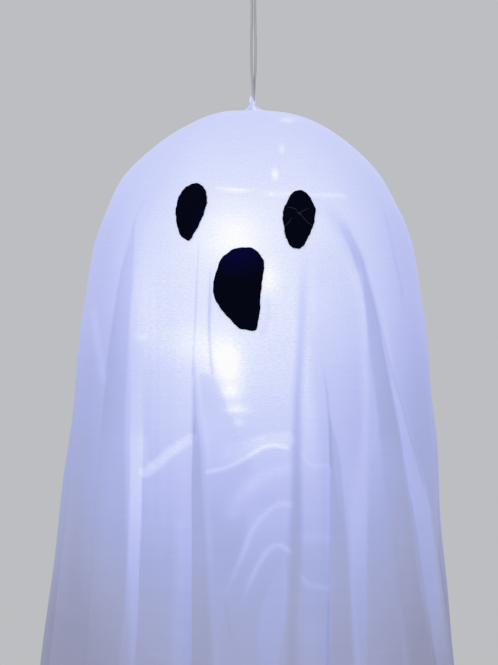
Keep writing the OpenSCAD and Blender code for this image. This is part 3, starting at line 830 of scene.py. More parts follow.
    def on_photo(self, path: Pixels, at_hem: float) -> tuple[Pair, ...]:
        """Finds where a line of the photograph lies on the cloth, and runs it on to the hem.

        Args:
            path: pixels of the line, from the top down.
            at_hem: its bearing at the hem, in degrees.

        Returns:
            Drop and bearing in degrees of each point.
        """
        rounds = 12
        most = 0.985
        line = []
        for across, down in path:
            y = -self.hem_r
            for _ in range(rounds):
                scale = self.view.focal / (self.view.distance + y)
                drop = self.crown - self.view.level - (self.view.height / 2 - down) / scale
                x = self.view.across + (across - self.view.width / 2) / scale - self.drift(drop)
                radius = float(self.radius(drop))
                x = max(-most * radius, min(most * radius, x))
                y = -math.sqrt(radius**2 - x**2)
            line.append((drop, math.degrees(math.atan2(x, -y))))
        return (*line, (self.length, at_hem))

    def front_folds(self) -> list[Fold]:
        """Makes the folds that the photograph shows, and the flute at its right edge.

        Returns:
            The folds, from left to right.
        """
        cheek_left = (
            (167, 178), (154, 188), (145, 200), (136, 215), (129, 240), (121, 272), (115, 307), (110, 340),
            (105.5, 375), (101, 415), (98, 450), (95.5, 487), (92.5, 525), (90, 562), (86, 612), (83.5, 664),
        )
        panel_left = ((194.5, 352), (194, 400), (192, 450), (191.5, 540), (191.5, 660))
        panel_right = ((323, 362), (326, 392), (329.5, 443), (330.5, 500), (330.5, 580), (330, 660))
        cheek_right = (
            (337, 215), (347.5, 227.5), (361, 255), (370, 285), (378.7, 320), (385, 355), (390, 380),
            (397.5, 420), (402.5, 450), (407.5, 482), (412.5, 507), (417.5, 537), (421, 562), (425, 590),
            (430, 620), (436, 662),
        )
        return [
            Fold(Form.EDGE_LEFT, self.on_photo(cheek_left, -51), 0.056, 0.012),
            Fold(Form.EDGE_LEFT, self.on_photo(panel_left, -14.5), 0.02, 0.007),
            Fold(Form.EDGE_LEFT, self.on_photo(panel_right, 21), 0.024, 0.007),
            Fold(Form.EDGE_RIGHT, self.on_photo(cheek_right, 65), 0.044, 0.012),
            Fold(Form.FLUTE, ((0.24, 82.0), (0.35, 83.0), (self.length, 84.0)), 0.012, 0.024, 0.3),
        ]

    def back_folds(self) -> list[Fold]:
        """Makes the flutes of the sides and the back, each with a slight sway of its own.

        Returns:
            The flutes.
        """
        # Bearing, where it begins, half width, depth and lean.
        table = (
            (-78.8, 0.17, 0.018, 0.030, 0.5), (-95.6, 0.07, 0.023, 0.052, -0.5),
            (-118.1, 0.08, 0.025, 0.054, 0.4), (-136, 0.15, 0.018, 0.026, -0.3),
            (-151.9, 0.07, 0.024, 0.052, 0.6), (-168.8, 0.11, 0.021, 0.044, -0.4),
            (174.4, 0.075, 0.024, 0.054, 0.3), (151.9, 0.085, 0.022, 0.052, -0.6),
            (138, 0.16, 0.014, 0.02, 0.3), (123.8, 0.07, 0.023, 0.052, 0.5),
            (101.3, 0.08, 0.023, 0.052, -0.4),
        )
        folds = []
        for bearing, start, width, depth, lean in table:
            sway = [self.rng.uniform(-self.back_sway_deg, self.back_sway_deg) for _ in range(4)]
            line = (
                (start, bearing + 2 * sway[0]), (start + 0.08, bearing + sway[1]),
                (0.3, bearing + sway[2]), (0.4, bearing + 0.5 * sway[3]), (self.length, bearing),
            )
            folds.append(Fold(Form.FLUTE, line, width, depth, lean))
        return folds

    def fold_points(self, fold: Fold, drop: float) -> Array:
        """Places a fold's control points round one ring.

        Args:
            fold: the fold.
            drop: the ring's drop.

        Returns:
            Bearing and inset of each control point.
        """
        shares = fold.shares
        down = max(0.0, (drop - fold.start) / (self.length - fold.start))
        folded = float(smooth_step(drop, fold.start, self.grow))
        width, depth = fold.size_at(down)
        width /= float(self.radius(max(drop, self.brow_drop)))
        spread = math.radians(self.flat_deg) * (np.arange(len(shares)) - (len(shares) - 1) / 2)
        across = width * (shares[:, 0] + fold.lean * shares[:, 1])
        bearings = fold.bearing(drop) + (1 - folded) * spread + folded * across
        return np.column_stack([bearings, folded * depth * shares[:, 1]])

    def ring_points(self, drop: float) -> Array:
        """Control points of a whole ring, the first one repeated a turn on.

        Args:
            drop: the ring's drop.

        Returns:
            Bearing and inset of each point.
        """
        blocks = [self.fold_points(fold, drop) for fold in self.folds]
        down = float(smooth_step(drop, self.brow_drop, self.length - self.brow_drop))
        rows = []
        for k, points in enumerate(blocks):
            after = (k + 1) % len(blocks)
            end, begin = points[-1], blocks[after][0] + np.array([TURN * (after == 0), 0.0])
            fluted = all(self.folds[n].form is Form.FLUTE for n in (k, after))
            swell = self.crest_swell * down * fluted
            swell *= 1 + self.sways[k] * math.sin(self.crest_turn * drop + k)
            rows.append(points)
            for share in self.crest_shares:
                bearing, inset = end + (begin - end) * share
                rows.append(np.array([[bearing, self.crest_inset * inset - swell]]))
        ring = np.vstack(rows)
        return np.vstack([ring, ring[0] + np.array([TURN, 0.0])])

    def plan(self, drop: float, counts: Sequence[int]) -> Array:
        """Bearing and inset of each column of a ring, on the curve through its control points."""
        metres = np.array([self.hem_r, 1.0])
        return spline(self.ring_points(drop) * metres, counts, closed=True) / metres

    def column_step(self, bearing: float) -> float:
        """Distance between columns at a bearing in degrees."""
        if self.face_deg[0] < bearing < self.face_deg[1]:
            return self.step_face
        return self.step_front if abs(bearing) < self.front_deg else self.step_back

    def samples(self) -> tuple[list[int], Array]:
        """Shares out the columns of a ring.

        Returns:
            How many columns each span gets, and which columns lie behind.
        """
        rings = [self.ring_points(share * self.length) for share in self.measured_at]
        radius = float(self.radius(self.middle_share * self.length))
        under = []
        for fold in self.folds:
            hidden = UNDER_SPANS.get(fold.form, range(0))
            under += [k in hidden for k in range(len(fold.shares))] + [False] * len(self.crest_shares)
        counts, behind = [], []
        for k in range(len(rings[0]) - 1):
            gap = max(
                math.hypot((ring[k + 1, 0] - ring[k, 0]) * radius, ring[k + 1, 1] - ring[k, 1])
                for ring in rings
            )
            bearing = (math.degrees(rings[-1][k, 0]) + 180) % 360 - 180
            step = self.step_under if under[k] else self.column_step(bearing)
            counts.append(max(self.least_columns, math.ceil(gap / step)))
            behind += [not self.behind[0] <= bearing <= self.behind[1]] * counts[-1]
        return counts, np.array(behind)

    def ring_drops(self) -> list[float]:
        """Spaces the rings below the peak, close together where the head's rim shows.

        Returns:
            Their drops, down to the hem.
        """
        reach = math.acos(1 - self.rim_top / self.head_r)
        count = math.ceil(reach * self.head_r / self.head_step)
        drops = [self.head_r * (1 - math.cos(reach * k / count)) for k in range(1, count + 1)]
        for low, step in self.ring_steps:
            drops += np.linspace(drops[-1], low, math.ceil((low - drops[-1]) / step) + 1)[1:].tolist()
        return drops

    def middle_run(self, counts: Sequence[int]) -> Array:
        """Measures a ring half-way down, where the cloth is taken as flat.

        Args:
            counts: columns of each span.

        Returns:
            The share of the way round at each column.
        """
        drop = self.middle_share * self.length
        plan = self.plan(drop, counts)
        closed = np.vstack([plan, plan[:1] + np.array([TURN, 0.0])])
        run = run_along(closed * np.array([float(self.radius(drop)), 1.0]))
        return run[:-1] / run[-1]

    def build(self) -> Object:
        """Makes the cloth's mesh from its rings.

        Returns:
            The cloth, with its points and drops kept for the light.
        """
        self.sways = [self.rng.uniform(-self.most_sway, self.most_sway) for _ in self.folds]
        counts, behind = self.samples()
        run = self.middle_run(counts)
        rings = [(-self.peak * up, self.neck_r * wide) for up, wide in self.peak_shares]
        rings += [(d, float(self.radius(d))) for d in self.ring_drops()]
        rows, drops, shares = [], [], []
        for drop, radius in rings:
            plan = self.plan(max(drop, 0.0), counts)
            hung = float(smooth_step(drop, self.brow_drop, self.lies_flat_over))
            shares.append((1 - hung) * (plan[:, 0] - plan[0, 0]) / TURN + hung * run)
            rows.append(self.place(plan, drop, radius))
            drops.append(drop)
        last = self.plan(self.length, counts)
        for up, inset in self.hem_rings:
            drop = self.length - up
            rows.append(self.place(last + np.array([0.0, inset]), drop, float(self.radius(drop))))
            drops.append(drop)
            shares.append(shares[-1])
        faces = self.weave_rings(len(rows), behind)
        used, places = np.unique(np.concatenate(faces), return_inverse=True)
        ends = np.cumsum([len(f) for f in faces])
        verts, drops, shares = np.vstack(rows), np.repeat(drops, len(behind)), np.concatenate(shares)
        piece = make_piece("cloth", verts[used], np.split(places, ends[:-1]))
        self.points, self.drops = verts[used], drops[used]
        self.add_uv(piece, faces, np.column_stack([shares, 1 - drops / self.length]), len(behind))
        log.info("cloth: %d rings, %d columns, %d faces", len(rows), len(behind), len(faces))
        return piece

    def weave_rings(self, rings: int, behind: Array) -> list[list[int]]:
        """Joins the rings with faces, of which the columns behind use only some.

        Args:
            rings: how many rings there are.
            behind: which columns lie behind.

        Returns:
            The points of each face, by ring and then by column.
        """
        columns = len(behind)
        at_peak = len(self.peak_shares)
        hem = rings - 1 - len(self.hem_rings)
        used = [*range(at_peak), *range(at_peak, hem, self.skip_behind), *range(hem, rings)]
        faces = []
        for high, low in zip(used, used[1:]):
            for j in range(columns):
                m = (j + 1) % columns
                left = range(high, low + 1, low - high if behind[j] else 1)
                right = range(high, low + 1, low - high if behind[m] else 1)
                if behind[j] or behind[m]:
                    faces.append([i * columns + j for i in left] + [i * columns + m for i in reversed(right)])
                    continue
                for a in range(high * columns, low * columns, columns):
                    faces.append([a + j, a + columns + j, a + columns + m, a + m])
        return faces

    def place(self, plan: Array, drop: float, radius: float) -> Array:
        """Puts a ring's plan at its height, with the gathers at the peak, small ripples and a wavy hem.

        Args:
            plan: bearing and inset of each column.
            drop: the ring's drop.
            radius: radius of its crests.

        Returns:
            One row per column.
        """
        bearing, inset = plan[:, 0], plan[:, 1]
        turned = np.degrees(np.arctan2(np.sin(bearing), np.cos(bearing)))
        near_peak = math.exp(-max(drop, 0.0) / self.neck_fade)
        gather = 1 + near_peak * add_waves(self.neck_gathers, bearing)
        hang = float(smooth_step(drop, self.brow_drop, self.ripple_over))
        behind = smooth_step(np.abs(turned), *self.full_ripple_deg)
        ripple = self.front_ripple + (1 - self.front_ripple) * behind
        ripple *= add_waves(self.ripples, bearing, drop)
        r = (radius - inset) * gather + hang * ripple + self.bulge(turned, drop)
        down = (max(drop, 0.0) / self.length) ** 3
        fall = down * (add_waves(self.hem_waves, bearing) - self.hem_lift * inset)
        sink = self.flat_top * (1 - float(smooth_step(radius, self.flat_r, self.flat_fade)))
        up = max(-drop, 0.0) / self.peak
        narrow = 1 - self.peak_narrow * float(smooth_step(-drop, *self.peak_narrow_over))
        crumple = 1 + up * add_waves(self.peak_crumples, bearing, up)
        tilt = up * self.peak * add_waves(self.peak_tilts, bearing)
        return np.column_stack([
            narrow * crumple * r * np.sin(bearing) + self.drift(drop) - self.peak_lean * up * self.peak,
            -crumple * r * np.cos(bearing),
            self.crown - sink - drop + fall + tilt,
        ])

    def bulge(self, turned: Array, drop: float) -> Array:
        """How far the cloth's sides stand out, or in where they are held back.

        Args:
            turned: bearings in degrees, from -180 to 180.
            drop: the ring's drop.

        Returns:
            One distance per bearing.
        """
        (start, end), (enter, leave) = self.side_deg, self.side_fade_deg
        out = np.zeros(len(turned))
        for bulge in self.bulges:
            near = math.exp(-(((drop - bulge.drop) / bulge.half) ** 2))
            for side, reach in ((-1, bulge.left), (1, bulge.right)):
                there = smooth_step(side * turned, start, enter) * smooth_step(-side * turned, -end, leave)
                out += reach * near * there
        return out

    def add_uv(self, piece: Object, faces: Sequence[Sequence[int]], flat: Array,
               columns: int) -> None:
        """Lays the cloth flat in a UV map: across by its length round, down by rings.

        Args:
            piece: the cloth.
            faces: points of each face, by ring and then by column.
            flat: place of each point on the flat cloth.
            columns: how many columns a ring has.
        """
        layer = piece.data.uv_layers.new(name="UVMap")
        index = np.concatenate(faces)
        column = index % columns
        owner = np.repeat(np.arange(len(faces)), [len(f) for f in faces])
        at_end = np.zeros(len(faces), bool)
        at_end[owner[column == columns - 1]] = True
        uv = flat[index]
        uv[:, 0] += at_end[owner] & (column == 0)
        layer.data.foreach_set("uv", uv.ravel())


@dataclass
class InnerLight:
    """Light that comes through the cloth, kept as an attribute of its mesh.

    Attributes:
        view: camera of the photograph, which places the marks.
        front: brightness in front at those drops.
        side: brightness at the sides and behind.
        turn_deg: bearings between which it goes from the one to the other.
        edge_share: how much darker the cloth is below the brow where it is seen edge on.
        layer_pass: share of the light that one layer lets through.
        lamps_y: Y of the lamps' column.
        lamps_top: Z of its top.
        spread: places across and up of the lamps that light a point.
        marks_over: how far round the marks of the photograph reach, as the cosine of a bearing.
    """

    view: PhotoView
    shroud: Shroud
    drops: tuple[float, ...] = (0.0, 0.05, 0.09, 0.14, 0.21, 0.27, 0.33, 0.40, 0.48)
    front: tuple[float, ...] = (0.64, 0.71, 0.78, 0.77, 0.67, 0.51, 0.38, 0.305, 0.25)
    side: tuple[float, ...] = (0.64, 0.60, 0.53, 0.49, 0.40, 0.36, 0.30, 0.22, 0.16)
    turn_deg: Pair = (15.0, 66.0)
    edge_share: float = 0.25
    edge_over: float = 0.06
    edge_deg: Pair = (70.0, 25.0)
    layer_pass: float = 0.93
    lamps_y: float = -0.012
    lamps_top: float = -0.13
    spread: Pixels = ((0.0, 0.0), (0.02, 0.03), (-0.02, -0.03), (0.036, -0.02), (-0.036, 0.02))
    quick_spread: Pixels = ((0.0, 0.0), (0.028, 0.03), (-0.028, -0.03))
    skip: float = 0.0004
    most_layers: int = 5
    marks_over: Pair = (0.1, 0.3)
    peak_level: float = 0.66
    peak_over: float = 0.004
    # Painted light and shade at the peak: lighter on the crests of its gathers, darker in their grooves.
    peak_gather_shading: tuple[Wave, ...] = (Wave(0.1, 5, phase=0.7), Wave(0.05, 11))

    def level(self, bearing: Array, drops: Array) -> Array:
        """Plain brightness of the cloth over the lamps, with no folds.

        Args:
            bearing: bearing of each point in degrees.
            drops: drop of each point.

        Returns:
            Brightness of each point.
        """
        start, end = self.turn_deg
        turned = smooth_step(np.abs(bearing), start, end - start)
        front = curve_through(drops, self.drops, self.front)
        side = curve_through(drops, self.drops, self.side)
        return front + (side - front) * turned

    def layers(self, cloth: Object, points: Array) -> Array:
        """Share of the light that the layers behind each point let through.

        Args:
            cloth: the cloth.
            points: its points.

        Returns:
            One share per point, softened by the spread of the lamps.
        """
        tree = BVHTree.FromPolygons(
            [tuple(p) for p in points.tolist()], [tuple(p.vertices) for p in cloth.data.polygons], epsilon=0.0
        )
        spread = self.spread
        shares = np.zeros(len(points))
        for n, p in enumerate(points.tolist()):
            start = Vector(p)
            for across, up in spread:
                way = Vector((across, self.lamps_y, min(p[2] + up, self.lamps_top))) - start
                left = way.length - self.skip
                way.normalize()
                origin = start + way * self.skip
                passed = 0
                while passed < self.most_layers:
                    hit, _, _, distance = tree.ray_cast(origin, way, left)
                    if hit is None:
                        break
                    passed += 1
                    origin = hit + way * self.skip
                    left -= distance + self.skip
                shares[n] += self.layer_pass**passed
        return shares / len(spread)

    def dress(self, cloth: Object) -> None:
        """Stores the light on the cloth's points.

        Args:
            cloth: the cloth.
        """
        points, drops = self.shroud.points, self.shroud.drops
        bearing = np.arctan2(points[:, 0], -points[:, 1])
        normals = np.empty(points.size)
        cloth.data.vertex_normals.foreach_get("vector", normals)
        inward = points * np.array([-1.0, -1.0, 0.0])
        inward /= np.maximum(np.linalg.norm(inward, axis=1), TINY)[:, None]
        facing = np.abs((normals.reshape(-1, 3) * inward).sum(axis=1))
        beside = smooth_step(drops, self.shroud.brow_drop, self.edge_over)
        beside *= smooth_step(np.degrees(np.abs(bearing)), *self.edge_deg)
        light = self.level(np.degrees(bearing), drops) * self.layers(cloth, points)
        light *= 1 - self.edge_share * beside * (1 - facing)
        pixels = self.view.to_pixels(points)
        marks = (*STROKES.values(), *BANDS.values(), *GLOWS.values())
        in_front = smooth_step(np.cos(bearing), *self.marks_over)
        light *= 1 + in_front * sum(mark.change(pixels) for mark in marks)
        # The peak takes a set light, with painted light and shade along its gathers.
        on_peak = smooth_step(-drops, -self.peak_over, self.peak_over)
        light += (self.peak_level + add_waves(self.peak_gather_shading, bearing) - light) * on_peak
        attribute = cloth.data.attributes.new("inner_light", "FLOAT", "POINT")
        attribute.data.foreach_set("value", np.clip(light, 0.0, 1.0))


@dataclass(frozen=True)
class LitCloth:
    """Thin plain-woven polyester, lit from inside.

    It looks like a soft lampshade: each extra layer shows as a darker band, and the light turns from
    white to lavender as it fades. The threads show as faint level lines, and as a fine grain where a lamp
    is close behind them. Real threads are about 0.3 mm apart, finer than a pixel of the render, so they
    are drawn coarser here.

    Attributes:
        base: what it reflects, and lit_share how much of that the studio's light brings out.
        thread_mm: spacing of the threads.
        slub_mm: length across and down of a thick or thin place in the threads.
        pick_mm: the same for a level line.
        grain_mm: the same for the grain.
        warp_share: height of the upright threads, with the level ones as 1.
        pick_share: height of the level lines.
        grain_range: light at which it sets in and at which it is full.
        grain_least: share of it that shows in the shade.
        stops: light, and the colour that the cloth has there.
    """

    name: str = "woven polyester voile, lit from inside"
    base: str = "75767f"
    base_gain: float = 1.12
    lit_share: float = 0.85
    thread_mm: float = 1.5
    slub_mm: Pair = (30.0, 6.0)
    pick_mm: Pair = (26.0, 1.3)
    grain_mm: Pair = (1.7, 1.2)
    warp_share: float = 0.4
    pick_share: float = 1.8
    slub_share: float = 1.6
    weave_range: Pair = (1.2, 3.6)
    weave_gain: float = 0.025
    grain_gain: float = 0.26
    grain_range: Pair = (0.45, 0.75)
    grain_least: float = 0.1
    bump_mm: float = 0.15
    stops: tuple[tuple[float, str], ...] = (
        (0.0, "8a8b95"), (0.16, "9091a6"), (0.25, "9497b4"), (0.32, "a0a5ca"), (0.38, "a4acdb"),
        (0.46, "b2b9ec"), (0.56, "c0c7f4"), (0.66, "cdd3f8"), (0.76, "dce2fa"), (0.86, "eaeefc"),
        (0.96, "fafafb"),
    )

    def emission(self, code: str) -> Colour:
        """What the cloth gives off where it is to look a colour, less what it reflects.

        Args:
            code: the colour that it is to look.

        Returns:
            The linear colour that it gives off.
        """
        wanted, base = linear(code), linear(self.base)
        red, green, blue = (max(0.0, w - self.lit_share * c) for w, c in zip(wanted[:3], base[:3]))
        return (red, green, blue, 1.0)

    def build(self, around: float, down: float) -> Material:
        """Makes the material.

        Args:
            around: length of the cloth round its middle ring, which the UV map's first side covers.
            down: length of the cloth from crown to hem, which its second side covers.

        Returns:
            The material.
        """
        material, tree, shader = new_surface(
            self.name, Roughness=0.85, Specular_IOR_Level=0.25, Sheen_Weight=0.12, Sheen_Roughness=0.5,
            IOR=1.57, Emission_Strength=1.0,
        )
        uv = add_node(tree, "TexCoord").outputs["UV"]
        threads = add_node(tree, "Mapping", inputs={
            "Vector": uv, "Scale": (around / (self.thread_mm * MM), down / (self.thread_mm * MM), 1.0),
        }).outputs["Vector"]
        warp, weft = (
            add_node(tree, "TexWave", {"bands_direction": axis}, {
                "Vector": threads, "Scale": ONE_BAND, "Distortion": distortion, "Detail": 2.0,
                "Detail Scale": 0.3,
            }).outputs["Fac"]
            for axis, distortion in (("X", 1.2), ("Y", 1.6))
        )
        slub, picks, grain = (
            add_node(tree, "TexNoise", inputs={
                "Vector": add_node(tree, "Mapping", inputs={
                    "Vector": uv, "Scale": (around / (size[0] * MM), down / (size[1] * MM), 1.0),
                }).outputs["Vector"], "Scale": 1.0, "Detail": detail, "Roughness": roughness,
            }).outputs["Fac"]
            for size, detail, roughness in (
                (self.slub_mm, 4.0, 0.6), (self.pick_mm, 2.0, 0.5), (self.grain_mm, 1.0, 0.6),
            )
        )
        weave = weft
        for pattern, share in ((warp, self.warp_share), (picks, self.pick_share), (slub, self.slub_share)):
            weave = add_node(tree, "Math", {"operation": "MULTIPLY_ADD"}, {
                0: pattern, 1: share, 2: weave,
            }).outputs[0]
        woven = add_node(tree, "MapRange", inputs={
            "Value": weave, "From Min": self.weave_range[0], "From Max": self.weave_range[1],
            "To Min": 1 - self.weave_gain, "To Max": 1 + self.weave_gain,
        }).outputs[0]
        light = add_node(tree, "Attribute", {"attribute_name": "inner_light"}).outputs["Fac"]
        speck = add_node(tree, "Math", {"operation": "SUBTRACT"}, {0: grain, 1: 0.5}).outputs[0]
        speck_gain = add_node(tree, "MapRange", inputs={
            "Value": light, "From Min": self.grain_range[0], "From Max": self.grain_range[1],
            "To Min": self.grain_least * self.grain_gain, "To Max": self.grain_gain,
        }).outputs[0]
        factor = add_node(tree, "Math", {"operation": "MULTIPLY_ADD"}, {
            0: speck, 1: speck_gain, 2: woven,
        }).outputs[0]
        shown = add_node(tree, "Math", {"operation": "MULTIPLY"}, {0: light, 1: factor}).outputs[0]
        ramp = add_node(tree, "ValToRGB", inputs={"Fac": shown})
        set_ramp(ramp, [(place, self.emission(code)) for place, code in self.stops])
        tree.links.new(ramp.outputs["Color"], shader.inputs["Emission Color"])
        base = linear(self.base)
        shade = add_node(tree, "Mix", {"data_type": "RGBA"}, {
            0: slub, 6: base, 7: tuple(self.base_gain * c for c in base[:3]) + (1.0,),
        }).outputs[2]
        tree.links.new(shade, shader.inputs["Base Color"])
        bump = add_node(tree, "Bump", inputs={
            "Strength": 0.25, "Distance": self.bump_mm * MM, "Height": weave,
        }).outputs["Normal"]
        tree.links.new(bump, shader.inputs["Normal"])
        return material


@dataclass(frozen=True)
class Felt:
    """Needled craft felt.

    It looks matt and nearly black, like a hole in the lit cloth, with a fuzzy cut edge, thin pale lines of
    painted highlight on its creases and a trace of blue where a lamp is close behind it. Its fibres are finer
    than a pixel of the render, so their tangle is drawn coarser here.

    Attributes:
        light: colour of the pale lines of painted highlight.
        lit: what shines through away from the lamp, and lit_near what shines through in front of it.
        lamp: place of the lamp's spot on the felt, and lamp_reach its radius.
        mottle: how far the tangle lightens the felt.
    """

    name: str = "black craft felt, needled"
    dark: str = "010206"
    light: str = "5a5854"
    lit: str = "010210"
    lit_near: str = "020338"
    lamp: Point = (-0.0126, -0.11, -0.208)
    lamp_reach: float = 0.032
    lamp_core: float = 0.3
    fibre_mm: float = 0.6
    bump_mm: float = 0.3
    mottle: float = 0.02

    def build(self) -> Material:
        """Makes the material.

        Returns:
            The material.
        """
        material, tree, shader = new_surface(
            self.name, Roughness=0.95, Specular_IOR_Level=0.01, IOR=1.5, Emission_Strength=1.0,
        )
        place = add_node(tree, "TexCoord").outputs["Object"]
        matted = add_node(tree, "TexNoise", inputs={
            "Vector": place, "Scale": 1 / (self.fibre_mm * MM), "Detail": 6.0, "Roughness": 0.7,
            "Distortion": 1.4,
        }).outputs["Fac"]
        # Painted highlight: the pale strands on the creases take the light colour.
        crease_shine = add_node(tree, "Attribute", {"attribute_name": "crease_shine"}).outputs["Fac"]
        pale = add_node(tree, "Math", {"operation": "MULTIPLY_ADD"}, {
            0: matted, 1: self.mottle, 2: crease_shine,
        }).outputs[0]
        away = add_node(tree, "VectorMath", {"operation": "DISTANCE"}, {
            0: place, 1: self.lamp,
        }).outputs["Value"]
        near = add_node(tree, "MapRange", inputs={
            "Value": away, "From Min": self.lamp_core * self.lamp_reach, "From Max": self.lamp_reach,
            "To Min": 1.0, "To Max": 0.0,
        }).outputs[0]
        for socket, share, low, high in (
            ("Base Color", pale, self.dark, self.light), ("Emission Color", near, self.lit, self.lit_near),
        ):
            colour = add_node(tree, "Mix", {"data_type": "RGBA"}, {
                0: share, 6: linear(low), 7: linear(high),
            }).outputs[2]
            tree.links.new(colour, shader.inputs[socket])
        bump = add_node(tree, "Bump", inputs={
            "Strength": 0.6, "Distance": self.bump_mm * MM, "Height": matted,
        }).outputs["Normal"]
        tree.links.new(bump, shader.inputs["Normal"])
        return material


@dataclass(frozen=True)
class SatinCord:
    """Twisted satin cord or twin wire, smooth along its strands.

    It shows soft bright bands that follow the strands, partly from its shine and partly painted into its
    colour: the bundles' crests are lighter and the gaps between them darker. The real fibres are finer than
    a pixel of the render, so they are drawn as bundles: on the 2 mm loop a bundle is 0.45 by 0.16 mm.

    Attributes:
        colour: colour of the bundles' crests, lighter as a painted sheen.
        shade: colour between them, darker as painted shade in the gaps.
        bundles: how many there are round the cord, and in as much of its length.
        fibre_mm: height of the bundles.
    """

    name: str
    colour: str
    shade: str
    roughness: float = 0.42
    fibre_mm: float = 0.25
    bundles: Pair = (14.0, 40.0)
    slant: float = 0.6

    def build(self) -> Material:
        """Makes the material.

        Returns:
            The material.
        """
        material, tree, shader = new_surface(
            self.name, Roughness=self.roughness, Specular_IOR_Level=0.5, Sheen_Weight=0.2, IOR=1.5,
        )
        uv = add_node(tree, "TexCoord").outputs["UV"]
        slanted = add_node(tree, "Mapping", inputs={
            "Vector": uv, "Rotation": (0.0, 0.0, self.slant), "Scale": (*self.bundles, 1.0),
        }).outputs["Vector"]
        fibres = add_node(tree, "TexNoise", inputs={
            "Vector": slanted, "Scale": 1.0, "Detail": 5.0, "Roughness": 0.65,
        }).outputs["Fac"]
        # Painted sheen and shade: the crests of the bundles take the lighter colour, the gaps between them
        # the darker one.
        colour = add_node(tree, "Mix", {"data_type": "RGBA"}, {
            0: fibres, 6: linear(self.shade), 7: linear(self.colour),
        }).outputs[2]
        tree.links.new(colour, shader.inputs["Base Color"])
        bump = add_node(tree, "Bump", inputs={
            "Strength": 0.35, "Distance": self.fibre_mm * MM, "Height": fibres,
        }).outputs["Normal"]
        tree.links.new(bump, shader.inputs["Normal"])
        return material


@dataclass(frozen=True)
class Moulding:
    """A moulded, plated, cast or coated surface with a fine grain.

    It has a soft, slightly uneven shine and a faint cloudiness. The grain of a mould is finer than a
    pixel of the render, so it is drawn coarser here.

    Attributes:
        grain_mm: size of the grain.
        grain_depth_mm: depth of the grain.
        cloud_grains: size of the clouds in its colour, in grains.
        glow: share of its colour that it gives off.
        mottle: how far its colour varies.
        clear: share of the light that passes through it.
        uneven: how far its roughness varies.
    """

    name: str
    colour: str
    roughness: float
    metallic: float = 0.0
    ior: float = 1.5
    grain_mm: float = 0.8
    grain_depth_mm: float = 0.02
    cloud_grains: float = 16.0
    glow: float = 0.0
    mottle: float = 0.12
    clear: float = 0.0
    uneven: float = 0.15

    def build(self) -> Material:
        """Makes the material.

        Returns:
            The material.
        """
        material, tree, shader = new_surface(
            self.name, Metallic=self.metallic, IOR=self.ior, Transmission_Weight=self.clear,
        )
        place = add_node(tree, "TexCoord").outputs["Object"]
        grain = add_node(tree, "TexNoise", inputs={
            "Vector": place, "Scale": 1 / (self.grain_mm * MM), "Detail": 3.0, "Roughness": 0.55,
        }).outputs["Fac"]
        cloud = add_node(tree, "TexNoise", inputs={
            "Vector": place, "Scale": 1 / (self.cloud_grains * self.grain_mm * MM), "Detail": 2.0,
        }).outputs["Fac"]
        full = linear(self.colour)
        dim = tuple(c * (1 - self.mottle) for c in full[:3]) + (1.0,)
        colour = add_node(tree, "Mix", {"data_type": "RGBA"}, {0: cloud, 6: dim, 7: full}).outputs[2]
        tree.links.new(colour, shader.inputs["Base Color"])
        rough = add_node(tree, "MapRange", inputs={
            "Value": grain, "From Min": 0.3, "From Max": 0.7,
            "To Min": (1 - self.uneven) * self.roughness,
            "To Max": min(1.0, (1 + self.uneven) * self.roughness),
        }).outputs[0]
        tree.links.new(rough, shader.inputs["Roughness"])
        bump = add_node(tree, "Bump", inputs={
            "Strength": 0.4, "Distance": self.grain_depth_mm * MM, "Height": grain,
        }).outputs["Normal"]
        tree.links.new(bump, shader.inputs["Normal"])
        if self.glow:
            tree.links.new(colour, shader.inputs["Emission Color"])
            shader.inputs["Emission Strength"].default_value = self.glow
        return material


@dataclass(frozen=True)
class CellWrap:
    """Printed film on three dry cells, side by side.

    It shows a plain dark body, a copper-coloured band at each nub and bare steel at both ends.

    Attributes:
        pitch_mm: spacing of the cells.
        band_mm: where the band ends, from the nub's face.
        rim_mm: how far the film stops short of the flat end.
        scuff_mm: size of the scuffs, and scuff how far they darken the film.
    """

    name: str = "printed film wrapper of a dry cell"
    body: str = "2c3a33"
    band: str = "b5763c"
    steel: str = "b9babd"
    cell_mm: float = 50.5
    pitch_mm: float = 15.5
    nub_mm: float = 1.9
    band_mm: float = 15.0
    rim_mm: float = 0.6
    scuff_mm: float = 10 / 3
    scuff: float = 0.25

    def build(self, low: Vector, high: Vector) -> Material:
        """Makes the material, with the middle cell turned round.

        Args:
            low: lowest corner of the three cells.
            high: highest corner of the three cells.

        Returns:
            The material.
        """
        material, tree, shader = new_surface(self.name, Roughness=0.3, IOR=1.5)
        place = add_node(tree, "TexCoord").outputs["Object"]
        axes = add_node(tree, "SeparateXYZ", inputs={"Vector": place})
        ahead, back = (
            add_node(tree, "MapRange", inputs={
                "Value": axes.outputs["Y"], "From Min": low.y, "From Max": high.y, "To Min": start,
                "To Max": 1 - start,
            }).outputs[0]
            for start in (0.0, 1.0)
        )
        in_middle = add_node(tree, "Math", {"operation": "COMPARE"}, {
            0: axes.outputs["X"], 1: (low.x + high.x) / 2, 2: self.pitch_mm * MM / 2,
        }).outputs[0]
        along = add_node(tree, "Mix", {"data_type": "FLOAT"}, {
            0: in_middle, 2: ahead, 3: back,
        }).outputs[0]
        ramp = add_node(tree, "ValToRGB", inputs={"Fac": along})
        ramp.color_ramp.interpolation = "CONSTANT"
        share = MM / (high.y - low.y)
        set_ramp(ramp, [
            (0.0, linear(self.steel)), (self.nub_mm * share, linear(self.band)),
            (self.band_mm * share, linear(self.body)),
            ((self.cell_mm - self.rim_mm) * share, linear(self.steel)),
        ])
        scuffs = add_node(tree, "TexNoise", inputs={
            "Vector": place, "Scale": 1 / (self.scuff_mm * MM), "Detail": 4.0,
        }).outputs["Color"]
        colour = add_node(tree, "Mix", {"data_type": "RGBA", "blend_type": "MULTIPLY"}, {
            0: self.scuff, 6: ramp.outputs["Color"], 7: scuffs,
        }).outputs[2]
        tree.links.new(colour, shader.inputs["Base Color"])
        return material


